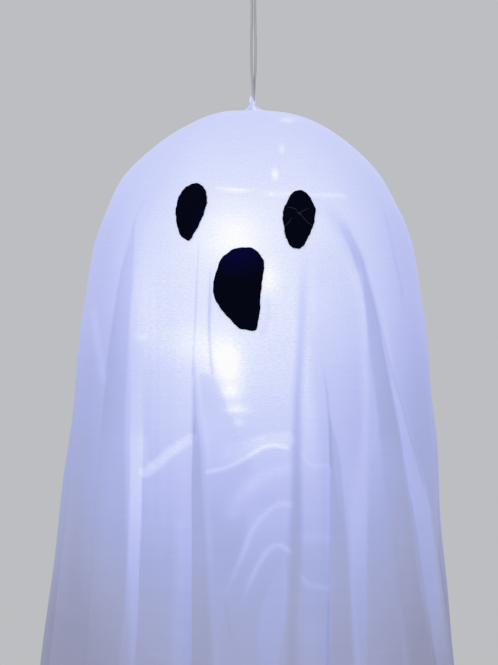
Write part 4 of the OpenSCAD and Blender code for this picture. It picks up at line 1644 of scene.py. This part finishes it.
def route_points(route: Sequence[Point], step: float) -> Array:
    """Runs a smooth line through a cord's route and spaces its points evenly.

    Args:
        route: points in metres.
        step: distance between the new points.

    Returns:
        One row per point.
    """
    steps = 24
    fine = spline(np.array(route), [steps] * (len(route) - 1), closed=False)
    return even_points(fine, max(2, round(run_along(fine)[-1] / step) + 1))


@dataclass
class TwistedCord:
    """A cord or wire of twisted strands, which show in relief.

    Attributes:
        diameter: over the strands.
        step: distance between its rings.
        strands: how many show round it.
        pitch: length in which a strand goes once round.
        relief: depth between strands as a share of the radius.
        sides: points round a ring.
    """

    diameter: float
    step: float
    strands: int
    pitch: float
    relief: float
    sides: int

    def sweep(self, name: str, line: Array) -> Object:
        """Makes the cord along a line.

        Args:
            name: the piece's name.
            line: points of its centreline.

        Returns:
            The cord, with a UV map that runs round it and along it.
        """
        radius, sides = self.diameter / 2, self.sides
        ahead = np.vstack([line[1:], line[-1:]]) - np.vstack([line[:1], line[:-1]])
        ahead /= np.linalg.norm(ahead, axis=1)[:, None]
        side = np.cross(ahead, np.array([0.0, 1.0, 0.0]))
        side /= np.linalg.norm(side, axis=1)[:, None]
        other = np.cross(ahead, side)
        run = run_along(line)
        turn = TURN * np.arange(sides) / sides
        rings = []
        for k in range(len(line)):
            lobe = np.abs(np.cos(self.strands / 2 * (turn - TURN * run[k] / self.pitch)))
            r = radius * (1 - self.relief + self.relief * lobe)
            out = np.cos(turn)[:, None] * side[k] + np.sin(turn)[:, None] * other[k]
            rings.append(line[k] + r[:, None] * out)
        verts = np.vstack(rings)
        faces = [tuple(reversed(range(sides)))]
        for k in range(len(line) - 1):
            for j in range(sides):
                m = (j + 1) % sides
                faces.append((k * sides + j, k * sides + m, (k + 1) * sides + m, (k + 1) * sides + j))
        faces.append(tuple((len(line) - 1) * sides + j for j in range(sides)))
        piece = make_piece(name, verts, faces)
        layer = piece.data.uv_layers.new(name="UVMap")
        for poly in piece.data.polygons:
            whole = len(poly.vertices) > 4
            for loop, vert in zip(poly.loop_indices, poly.vertices):
                k, j = divmod(vert, sides)
                wrapped = not whole and j == 0 and any(v % sides == sides - 1 for v in poly.vertices)
                layer.data[loop].uv = ((j + wrapped * sides) / sides, run[k] / (TURN * radius))
        return piece


@dataclass
class HangingLoop(TwistedCord):
    """The thin cord that the ghost hangs by: two strands with a knot under the head."""

    diameter: float = 0.002
    step: float = 0.0007
    strands: int = 3
    pitch: float = 0.0075
    relief: float = 0.22
    sides: int = 16

    def route(self) -> list[Point]:
        """Lays out the loop, up the left strand, over the bight and down the right one.

        Returns:
            Its points in metres, chosen in millimetres.
        """
        left = [
            (0, -1.1, -120), (0, -1.1, -112), (0, -1.1, -104), (-0.5, -1.1, -96), (-1, -0.9, -88),
            (-1.4, -0.5, -80), (-1.5, -0.2, -72), (-1.6, 0, -64), (-1.5, 0, -56), (-1.3, 0, -48),
            (-1.2, 0, -40), (-1.2, 0, -32), (-1.8, 0, -24), (-3.2, 0, -16), (-4.6, 0, -9),
            (-5, 0, -4), (-4.3, 0, -1.5), (-2.5, 0, 0.3),
        ]
        right = [(-x, -y, z) for x, y, z in reversed(left)]
        return [(x * MM, y * MM, z * MM) for x, y, z in [*left, (0, 0, 1), *right]]

    def build(self) -> None:
        line = route_points(self.route(), self.step)
        cord = self.sweep("cord", line)
        cord.data.materials.append(SatinCord("twisted satin cord", "c9cacd", "8d8f93").build())
        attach(cord, "ghost")
        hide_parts("hanging_loop")


@dataclass
class LightString(TwistedCord):
    """The twin wire of the light string, which hangs inside the cloth with its five lamps."""

    diameter: float = 0.0018
    step: float = 0.0008
    strands: int = 2
    pitch: float = 0.014
    relief: float = 0.34
    sides: int = 14

    def route(self) -> list[Point]:
        """Lays out the wire, from the strain relief to the last lamp.

        Returns:
            Its points in metres, chosen in millimetres.
        """
        points = [
            (-9.9, -29.5, -163), (-10.2, -29.5, -168), (-10.6, -29.8, -174), (-11.2, -30.4, -181),
            (-12, -31, -189), (-12.7, -31.6, -197), (-13, -32, -205), (-12, -32, -211), (-8.5, -31.5, -216),
            (-3, -31, -220), (3, -31, -224), (8, -31, -229), (10, -31, -235), (10.5, -31, -242),
            (9, -30.5, -249), (6, -30, -255), (2.5, -30, -261), (0, -30, -267), (-3, -30, -273),
            (-7, -30.5, -279), (-12, -31, -285), (-15.5, -31, -291), (-17, -31, -298), (-17.5, -31, -305),
            (-16.5, -31, -312), (-14, -31, -320), (-12, -31, -328),
        ]
        return [(x * MM, y * MM, z * MM) for x, y, z in points]

    def build(self) -> None:
        line = route_points(self.route(), self.step)
        wire = self.sweep("twin_wire", line)
        wire.data.materials.append(SatinCord("twin wire in clear PVC", "c7cbc9", "a3a9a4", 0.3, 0.05).build())
        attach(wire, "ghost")
        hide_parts("light_wire")


@dataclass
class FeltPatch:
    """A felt shape of the face, cut by hand and fixed flat on the cloth.

    Attributes:
        node: the solid that it stands for, which gives its place and size.
        shares: points of its outline, as shares of its width and height.
        crease_shine: thin pale strands that lie on it as a painted highlight of its creases, as shares of its
            width and height.
        bevel_share: rounding of its edges, as a share of the thickness.
        fuzz: how many fibres stand out of its edge.
        fuzz_lift: its height off the cloth, as shares of the thickness, and at least least_lift.
        fuzz_rise: how far its tip rises or falls, as a share of the thickness.
        fuzz_half: half of a fibre's width, and crease_shine_half that of a strand of painted highlight.
    """

    node: str
    shares: tuple[Pair, ...]
    crease_shine: tuple[Pixels, ...] = ()
    felt_t: float = 0.0012
    gap: float = 0.0002
    edge_points: int = 96
    rings: int = 9
    core: float = 0.93
    ring_power: float = 0.8
    bevel_share: float = 0.3
    waver: tuple[Wave, ...] = (Wave(0.00018, 11, phase=1.3), Wave(0.00012, 23))
    fuzz: int = 300
    fuzz_length: float = 0.0009
    fuzz_grow: Pair = (0.6, 1.5)
    fuzz_lean: float = 1.1
    fuzz_root: Pair = (0.0003, 0.0008)
    fuzz_lift: Pair = (0.3, 1.0)
    least_lift: float = 0.0003
    fuzz_curl: float = 0.2
    fuzz_rise: float = 0.3
    fuzz_widths: tuple[float, ...] = (1.0, 0.8, 0.3)
    fuzz_half: float = 0.00007
    crease_shine_half: float = 0.00008
    crease_shine_lift: float = 1.25

    def outline(self) -> Array:
        """Draws the outline, evenly spaced, with the waver of hand scissors.

        Returns:
            Its points in metres across and up.
        """
        low, high = (Vector(c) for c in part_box(self.node))
        steps = 16
        fine = spline(np.array([*self.shares, self.shares[0]]), [steps] * len(self.shares), closed=True)
        fine = np.vstack([fine, fine[:1]])
        flat = np.array([low.x, low.z]) + fine * np.array([high.x - low.x, high.z - low.z])
        edge = even_points(flat, self.edge_points, closed=True)
        waver = add_waves(self.waver, TURN * np.arange(self.edge_points) / self.edge_points)
        out = edge - edge.mean(axis=0)
        return edge + waver[:, None] * out / np.linalg.norm(out, axis=1)[:, None]

    def build(self, shroud: Shroud, material: Material) -> Object:
        """Makes the patch on the cloth's face.

        Args:
            shroud: the cloth, which gives the surface that it lies on.
            material: the felt.

        Returns:
            The patch.
        """
        edge = self.outline()
        middle = edge.mean(axis=0)
        bm = bmesh.new()
        bmesh.ops.create_circle(bm, cap_ends=False, radius=1.0, segments=self.edge_points)
        bm.verts.ensure_lookup_table()
        order = sorted(bm.verts, key=lambda v: math.atan2(v.co.y, v.co.x))
        bearings = np.arctan2(edge[:, 1] - middle[1], edge[:, 0] - middle[0])
        for vert, k in zip(order, np.argsort(bearings)):
            vert.co = (edge[k, 0], 0.0, edge[k, 1])
        centre = Vector((middle[0], 0.0, middle[1]))
        loop = list(bm.edges)
        share = 1.0
        for k in range(self.rings):
            grown = bmesh.ops.extrude_edge_only(bm, edges=loop)["geom"]
            inner = [g for g in grown if isinstance(g, BMVert)]
            after = 1 - ((k + 1) / self.rings) ** self.ring_power * self.core
            for vert in inner:
                vert.co = centre + (vert.co - centre) * (after / share)
            share = after
            loop = [g for g in grown if isinstance(g, BMEdge)]
        bmesh.ops.contextual_create(bm, geom=loop)
        for vert in bm.verts:
            vert.co.y = shroud_front(shroud, vert.co.x, vert.co.z) - self.gap
        bmesh.ops.recalc_face_normals(bm, faces=bm.faces)
        if sum(f.normal.y for f in bm.faces) > 0:
            bmesh.ops.reverse_faces(bm, faces=bm.faces)
        bmesh.ops.solidify(bm, geom=bm.faces[:], thickness=-self.felt_t)
        sharp = 1.0
        rim = [e for e in bm.edges if e.calc_face_angle(0) > sharp]
        bmesh.ops.bevel(
            bm, geom=rim, offset=self.bevel_share * self.felt_t, segments=2, affect="EDGES", profile=0.5,
            material=-1,
        )
        pale = bm.verts.layers.float.new("crease_shine")
        self.add_fuzz(bm, edge, middle, shroud)
        self.add_crease_shine(bm, edge, shroud, pale)
        bmesh.ops.recalc_face_normals(bm, faces=bm.faces)
        patch = from_bmesh(f"{self.node}_felt", bm)
        patch.data.materials.append(material)
        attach(patch, "ghost")
        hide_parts(self.node)
        return patch

    def add_fuzz(self, bm: BMesh, edge: Array, middle: Array, shroud: Shroud) -> None:
        """Adds the loose fibres that stand out of the cut edge and off the face.

        Args:
            bm: the patch, which takes them.
            edge: its outline.
            middle: its middle.
            shroud: the cloth.
        """
        rng = random.Random(SEED + len(self.node))
        for _ in range(self.fuzz):
            base = edge[rng.randrange(len(edge))]
            out = (base - middle) / np.linalg.norm(base - middle)
            lean = rng.uniform(-self.fuzz_lean, self.fuzz_lean)
            way = np.array([
                out[0] * math.cos(lean) - out[1] * math.sin(lean),
                out[0] * math.sin(lean) + out[1] * math.cos(lean),
            ])
            root = base - out * rng.uniform(*self.fuzz_root)
            tip = root + way * self.fuzz_length * rng.uniform(*self.fuzz_grow)
            lift = rng.uniform(*self.fuzz_lift) * self.felt_t
            curl = rng.uniform(-self.fuzz_curl, self.fuzz_curl) * self.fuzz_length
            bend = (root + tip) / 2 + curl * np.array([-way[1], way[0]])
            rise = rng.uniform(-self.fuzz_rise, self.fuzz_rise) * self.felt_t
            stations = [
                (place, wide, shroud_front(shroud, *place) - max(self.least_lift, up))
                for place, wide, up in zip((root, bend, tip), self.fuzz_widths, (lift, lift, lift + rise))
            ]
            self.add_fibre(bm, stations, self.fuzz_half)

    def add_crease_shine(self, bm: BMesh, edge: Array, shroud: Shroud, pale: Any) -> None:
        """Lays thin pale strands on the felt's face, a painted highlight of its creases.

        Args:
            bm: the patch, which takes them.
            edge: its outline.
            shroud: the cloth.
            pale: the layer that marks them for the finish.
        """
        low, size = edge.min(axis=0), np.ptp(edge, axis=0)
        steps = 6
        off = self.crease_shine_lift * self.felt_t + self.gap
        for shares in self.crease_shine:
            line = spline(low + np.array(shares) * size, [steps] * (len(shares) - 1), closed=False)
            stations = [(place, 1.0, shroud_front(shroud, *place) - off) for place in line]
            for vert in self.add_fibre(bm, stations, self.crease_shine_half):
                vert[pale] = 1.0

    def add_fibre(self, bm: BMesh, stations: Sequence[tuple[Array, float, float]],
                  width: float) -> list[BMVert]:
        """Adds one fibre with three sides.

        Args:
            bm: the patch, which takes it.
            stations: place across and up, share of the width, and Y of each station.
            width: half of the fibre's width.

        Returns:
            Its points.
        """
        rows = []
        for k, (place, wide, y) in enumerate(stations):
            way = stations[min(k + 1, len(stations) - 1)][0] - stations[max(k - 1, 0)][0]
            across = np.array([-way[1], way[0]]) / max(float(np.hypot(*way)), TINY) * width * wide
            rows.append([
                bm.verts.new((place[0] - across[0], y, place[1] - across[1])),
                bm.verts.new((place[0] + across[0], y, place[1] + across[1])),
                bm.verts.new((place[0], y - width * wide, place[1])),
            ])
        for a, b in zip(rows, rows[1:]):
            for j in range(3):
                m = (j + 1) % 3
                bm.faces.new((a[j], a[m], b[m], b[j]))
        bm.faces.new(rows[0][::-1])
        bm.faces.new(rows[-1])
        return [vert for row in rows for vert in row]


def shroud_front(shroud: Shroud, x: float, z: float) -> float:
    """Y of the cloth's smooth front at a place across and up."""
    r = float(shroud.radius(shroud.crown - z))
    return -math.sqrt(max(r * r - x * x, TINY))


FACE = (
    FeltPatch("left_eye", (
        (0.65, 1), (0.87, 0.95), (1, 0.78), (0.98, 0.59), (0.81, 0.33), (0.58, 0.1), (0.44, 0),
        (0.29, 0.03), (0.13, 0.13), (0.03, 0.33), (0, 0.51), (0.06, 0.71), (0.19, 0.86), (0.42, 0.97),
    )),
    FeltPatch("right_eye", (
        (0.52, 1), (0.71, 0.97), (0.88, 0.84), (1, 0.68), (0.98, 0.53), (0.91, 0.36), (0.76, 0.18),
        (0.67, 0.08), (0.52, 0), (0.38, 0), (0.21, 0.06), (0.09, 0.21), (0.03, 0.42), (0, 0.55),
        (0.06, 0.7), (0.2, 0.86), (0.33, 0.97),
    ), crease_shine=(
        # Pale strands of painted highlight on the felt's creases.
        ((0.14, 0.71), (0.34, 0.69), (0.44, 0.66)), ((0.5, 0.62), (0.68, 0.5), (0.83, 0.42), (0.92, 0.4)),
        ((0.46, 0.58), (0.6, 0.64), (0.78, 0.69)), ((0.07, 0.38), (0.2, 0.45), (0.27, 0.52)),
        ((0.42, 0.63), (0.52, 0.6), (0.56, 0.57)),
    )),
    FeltPatch("mouth", (
        (0.5, 0.99), (0.74, 1), (0.88, 0.94), (1, 0.84), (1, 0.75), (0.98, 0.63), (0.94, 0.46),
        (0.92, 0.23), (0.86, 0.03), (0.8, 0), (0.64, 0.01), (0.5, 0.04), (0.3, 0.16), (0.1, 0.31),
        (0.03, 0.41), (0, 0.54), (0.06, 0.69), (0.14, 0.84), (0.3, 0.94), (0.4, 0.98),
    )),
)


# Finish of each solid piece, with what it gives the eye.
SOLID_FINISHES: tuple[tuple[Moulding, tuple[str, ...]], ...] = (
    # Glossy and clear, with a milky shine from the lamps under it.
    (Moulding(
        "clear polystyrene, injection moulded", "e6eaf6", 0.2, ior=1.59, grain_mm=1.4, glow=0.1, clear=0.7
    ), ("head_dome",)),
    # A slightly warm white with a satin face.
    (Moulding(
        "white ABS, injection moulded", "e6e6e2", 0.42, ior=1.54, grain_mm=0.5
    ), ("battery_case", "switch_plate")),
    # The same white from another mould, a little smoother.
    (Moulding(
        "white ABS cover, injection moulded", "ecebe6", 0.36, ior=1.54, grain_mm=0.5
    ), ("battery_cover",)),
    # Bright, warm grey metal with sharp reflections.
    (Moulding(
        "nickel-plated spring steel", "c9c7c2", 0.24, metallic=1.0, grain_mm=0.3
    ), ("contact_springs", "contact_plates")),
    # Cooler and duller metal than the springs.
    (Moulding("zinc-plated screw steel", "b8bcc2", 0.32, metallic=1.0, grain_mm=0.4), ("fixing_screws",)),
    # A deep black with a soft shine on its edges.
    (Moulding("black nylon, injection moulded", "1b1b1d", 0.45, ior=1.53, grain_mm=0.3), ("switch_knob",)),
    # A flat dark grey that stays behind the knob.
    (Moulding("grey nylon, injection moulded", "4b4d50", 0.5, ior=1.53, grain_mm=0.4), ("switch_body",)),
    # A glossy green over faint weave.
    (Moulding(
        "glass-epoxy board with green solder mask", "1f6a45", 0.35, ior=1.55, grain_mm=0.5
    ), ("circuit_board",)),
    # Blotchy brown and beige, as dipped parts are.
    (Moulding(
        "epoxy-coated components", "8b7456", 0.45, ior=1.55, grain_mm=0.6, mottle=0.5
    ), ("board_parts",)),
    # A dull, soft-looking grey white.
    (Moulding("soft PVC strain relief, moulded", "d9d8d2", 0.55, ior=1.52, grain_mm=0.4), ("strain_relief",)),
    # A creamy white disc.
    (Moulding("natural nylon washer, stamped", "e9e6da", 0.45, ior=1.53, grain_mm=0.6), ("stop_washer",)),
    # A plain white, less glossy than the lamp in it.
    (Moulding(
        "white polypropylene lamp holder, moulded", "e8e8e6", 0.4, ior=1.49, grain_mm=0.4
    ), ("lamp_holders",)),
    # A bright cold white that hides the lamp's own form.
    (Moulding(
        "clear epoxy lamp, cast, lit cold white", "f4f7ff", 0.12, ior=1.55, grain_mm=2.0, glow=2.5
    ), ("led_lamps",)),
    # The cord's grey, rougher and more broken where it is knotted.
    (Moulding(
        "knotted satin cord", "c2c3c6", 0.5, ior=1.5, grain_mm=0.35, grain_depth_mm=0.2, mottle=0.35
    ), ("loop_knot",)),
)


@dataclass
class Hardware:
    """Finishes of the solid pieces: head, battery case, switch, board, lamps and knot."""

    finishes: tuple[tuple[Moulding, tuple[str, ...]], ...] = SOLID_FINISHES

    def dress(self) -> None:
        """Gives each solid its material."""
        for finish, names in self.finishes:
            material = finish.build()
            for name in names:
                self.put_on(name, material)
        low, high = (Vector(c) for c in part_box("battery_cells"))
        self.put_on("battery_cells", CellWrap().build(low, high))

    def put_on(self, name: str, material: Material) -> None:
        """Puts one material on a solid.

        Args:
            name: the solid's name.
            material: its material.
        """
        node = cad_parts[name]
        node.data.materials.clear()
        node.data.materials.append(material)
        log.info("finish: %s", name)


@dataclass
class Studio:
    """Plain pale floor, soft lamps and a plain background.

    Attributes:
        paper: the two colours of the paper that it is made of.
        pulp_mm: size of the paper's mottle.
        lamps: name, place and power in watts of each lamp.
    """

    floor_level: float = -0.78
    floor_r: float = 1.3
    paper: tuple[str, str] = ("bcbdc0", "c0c1c4")
    pulp_mm: float = 2.5
    background: str = "bdbec1"
    daylight: float = 0.62
    lamps: tuple[tuple[str, Point, float], ...] = (
        ("key", (-1.3, -1.9, 0.5), 14.0), ("fill", (1.7, -1.3, 0.1), 6.0), ("back", (0.3, 1.9, 0.6), 7.0),
    )
    lamp_size: float = 1.5
    aim: Point = (0.0, 0.0, -0.3)

    def build(self) -> None:
        """Makes the floor, the lamps and the world, with the plain colour transform."""
        bpy.context.scene.view_settings.view_transform = "Standard"
        self.make_floor()
        self.make_world()
        for name, place, power in self.lamps:
            self.make_lamp(name, place, power)

    def make_floor(self) -> None:
        """Makes the round floor under the ghost: matt paper, with a mottle too faint to draw the eye."""
        bm = bmesh.new()
        bmesh.ops.create_circle(bm, cap_ends=True, radius=self.floor_r, segments=96)
        bmesh.ops.translate(bm, verts=bm.verts, vec=(0, 0, self.floor_level))
        floor = from_bmesh("floor", bm)
        material, tree, shader = new_surface("matt studio paper", Roughness=0.95, Specular_IOR_Level=0.1)
        place = add_node(tree, "TexCoord").outputs["Object"]
        pulp = add_node(tree, "TexNoise", inputs={
            "Vector": place, "Scale": 1 / (self.pulp_mm * MM), "Detail": 3.0,
        }).outputs["Fac"]
        colour = add_node(tree, "Mix", {"data_type": "RGBA"}, {
            0: pulp, 6: linear(self.paper[0]), 7: linear(self.paper[1]),
        }).outputs[2]
        tree.links.new(colour, shader.inputs["Base Color"])
        floor.data.materials.append(material)

    def make_world(self) -> None:
        """Makes a soft even light, with the plain background for camera, glossy and clear rays."""
        world = bpy.data.worlds.new("studio")
        bpy.context.scene.world = world
        world.use_nodes = True
        tree = world.node_tree
        lit = tree.nodes["Background"]
        lit.inputs["Color"].default_value = (1, 1, 1, 1)
        lit.inputs["Strength"].default_value = self.daylight
        shown = add_node(tree, "Background", inputs={
            "Color": linear(self.background), "Strength": 1.0,
        }).outputs[0]
        path = add_node(tree, "LightPath").outputs
        seen = path["Is Camera Ray"]
        for ray in ("Is Glossy Ray", "Is Transmission Ray"):
            seen = add_node(tree, "Math", {"operation": "MAXIMUM"}, {
                0: seen, 1: path[ray],
            }).outputs[0]
        mix = add_node(tree, "MixShader", inputs={0: seen, 1: lit.outputs[0], 2: shown})
        tree.links.new(mix.outputs[0], tree.nodes["World Output"].inputs["Surface"])

    def make_lamp(self, name: str, place: Point, power: float) -> None:
        """Makes a soft lamp that points at the ghost.

        Args:
            name: the lamp's name.
            place: where it stands.
            power: its power in watts.
        """
        data = bpy.data.lights.new(name, "AREA")
        data.size = self.lamp_size
        data.energy = power
        lamp = bpy.data.objects.new(name, data)
        lamp.location = place
        way = Vector(self.aim) - Vector(place)
        lamp.rotation_euler = way.to_track_quat("-Z", "Y").to_euler()
        bpy.context.scene.collection.objects.link(lamp)


def main() -> None:
    """Builds the ghost's pieces in order and reports each."""
    logging.basicConfig(level=logging.INFO, format="%(name)s %(message)s")
    view = PhotoView()
    view.build()
    HangingLoop().build()
    LightString().build()
    shroud = Shroud(view)
    cloth = shroud.build()
    InnerLight(view, shroud).dress(cloth)
    around = TURN * float(shroud.radius(0.5 * shroud.length))
    cloth.data.materials.append(LitCloth().build(around, shroud.length))
    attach(cloth, "ghost")
    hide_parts("shroud")
    log.info("cloth: %.3f m2 of %.3f cut", sum(p.area for p in cloth.data.polygons), shroud.cut_area)
    felt = Felt().build()
    for patch in FACE:
        patch.build(shroud, felt)
        log.info("felt: %s", patch.node)
    Hardware().dress()
    Studio().build()


if __name__ == "__main__":
    main()
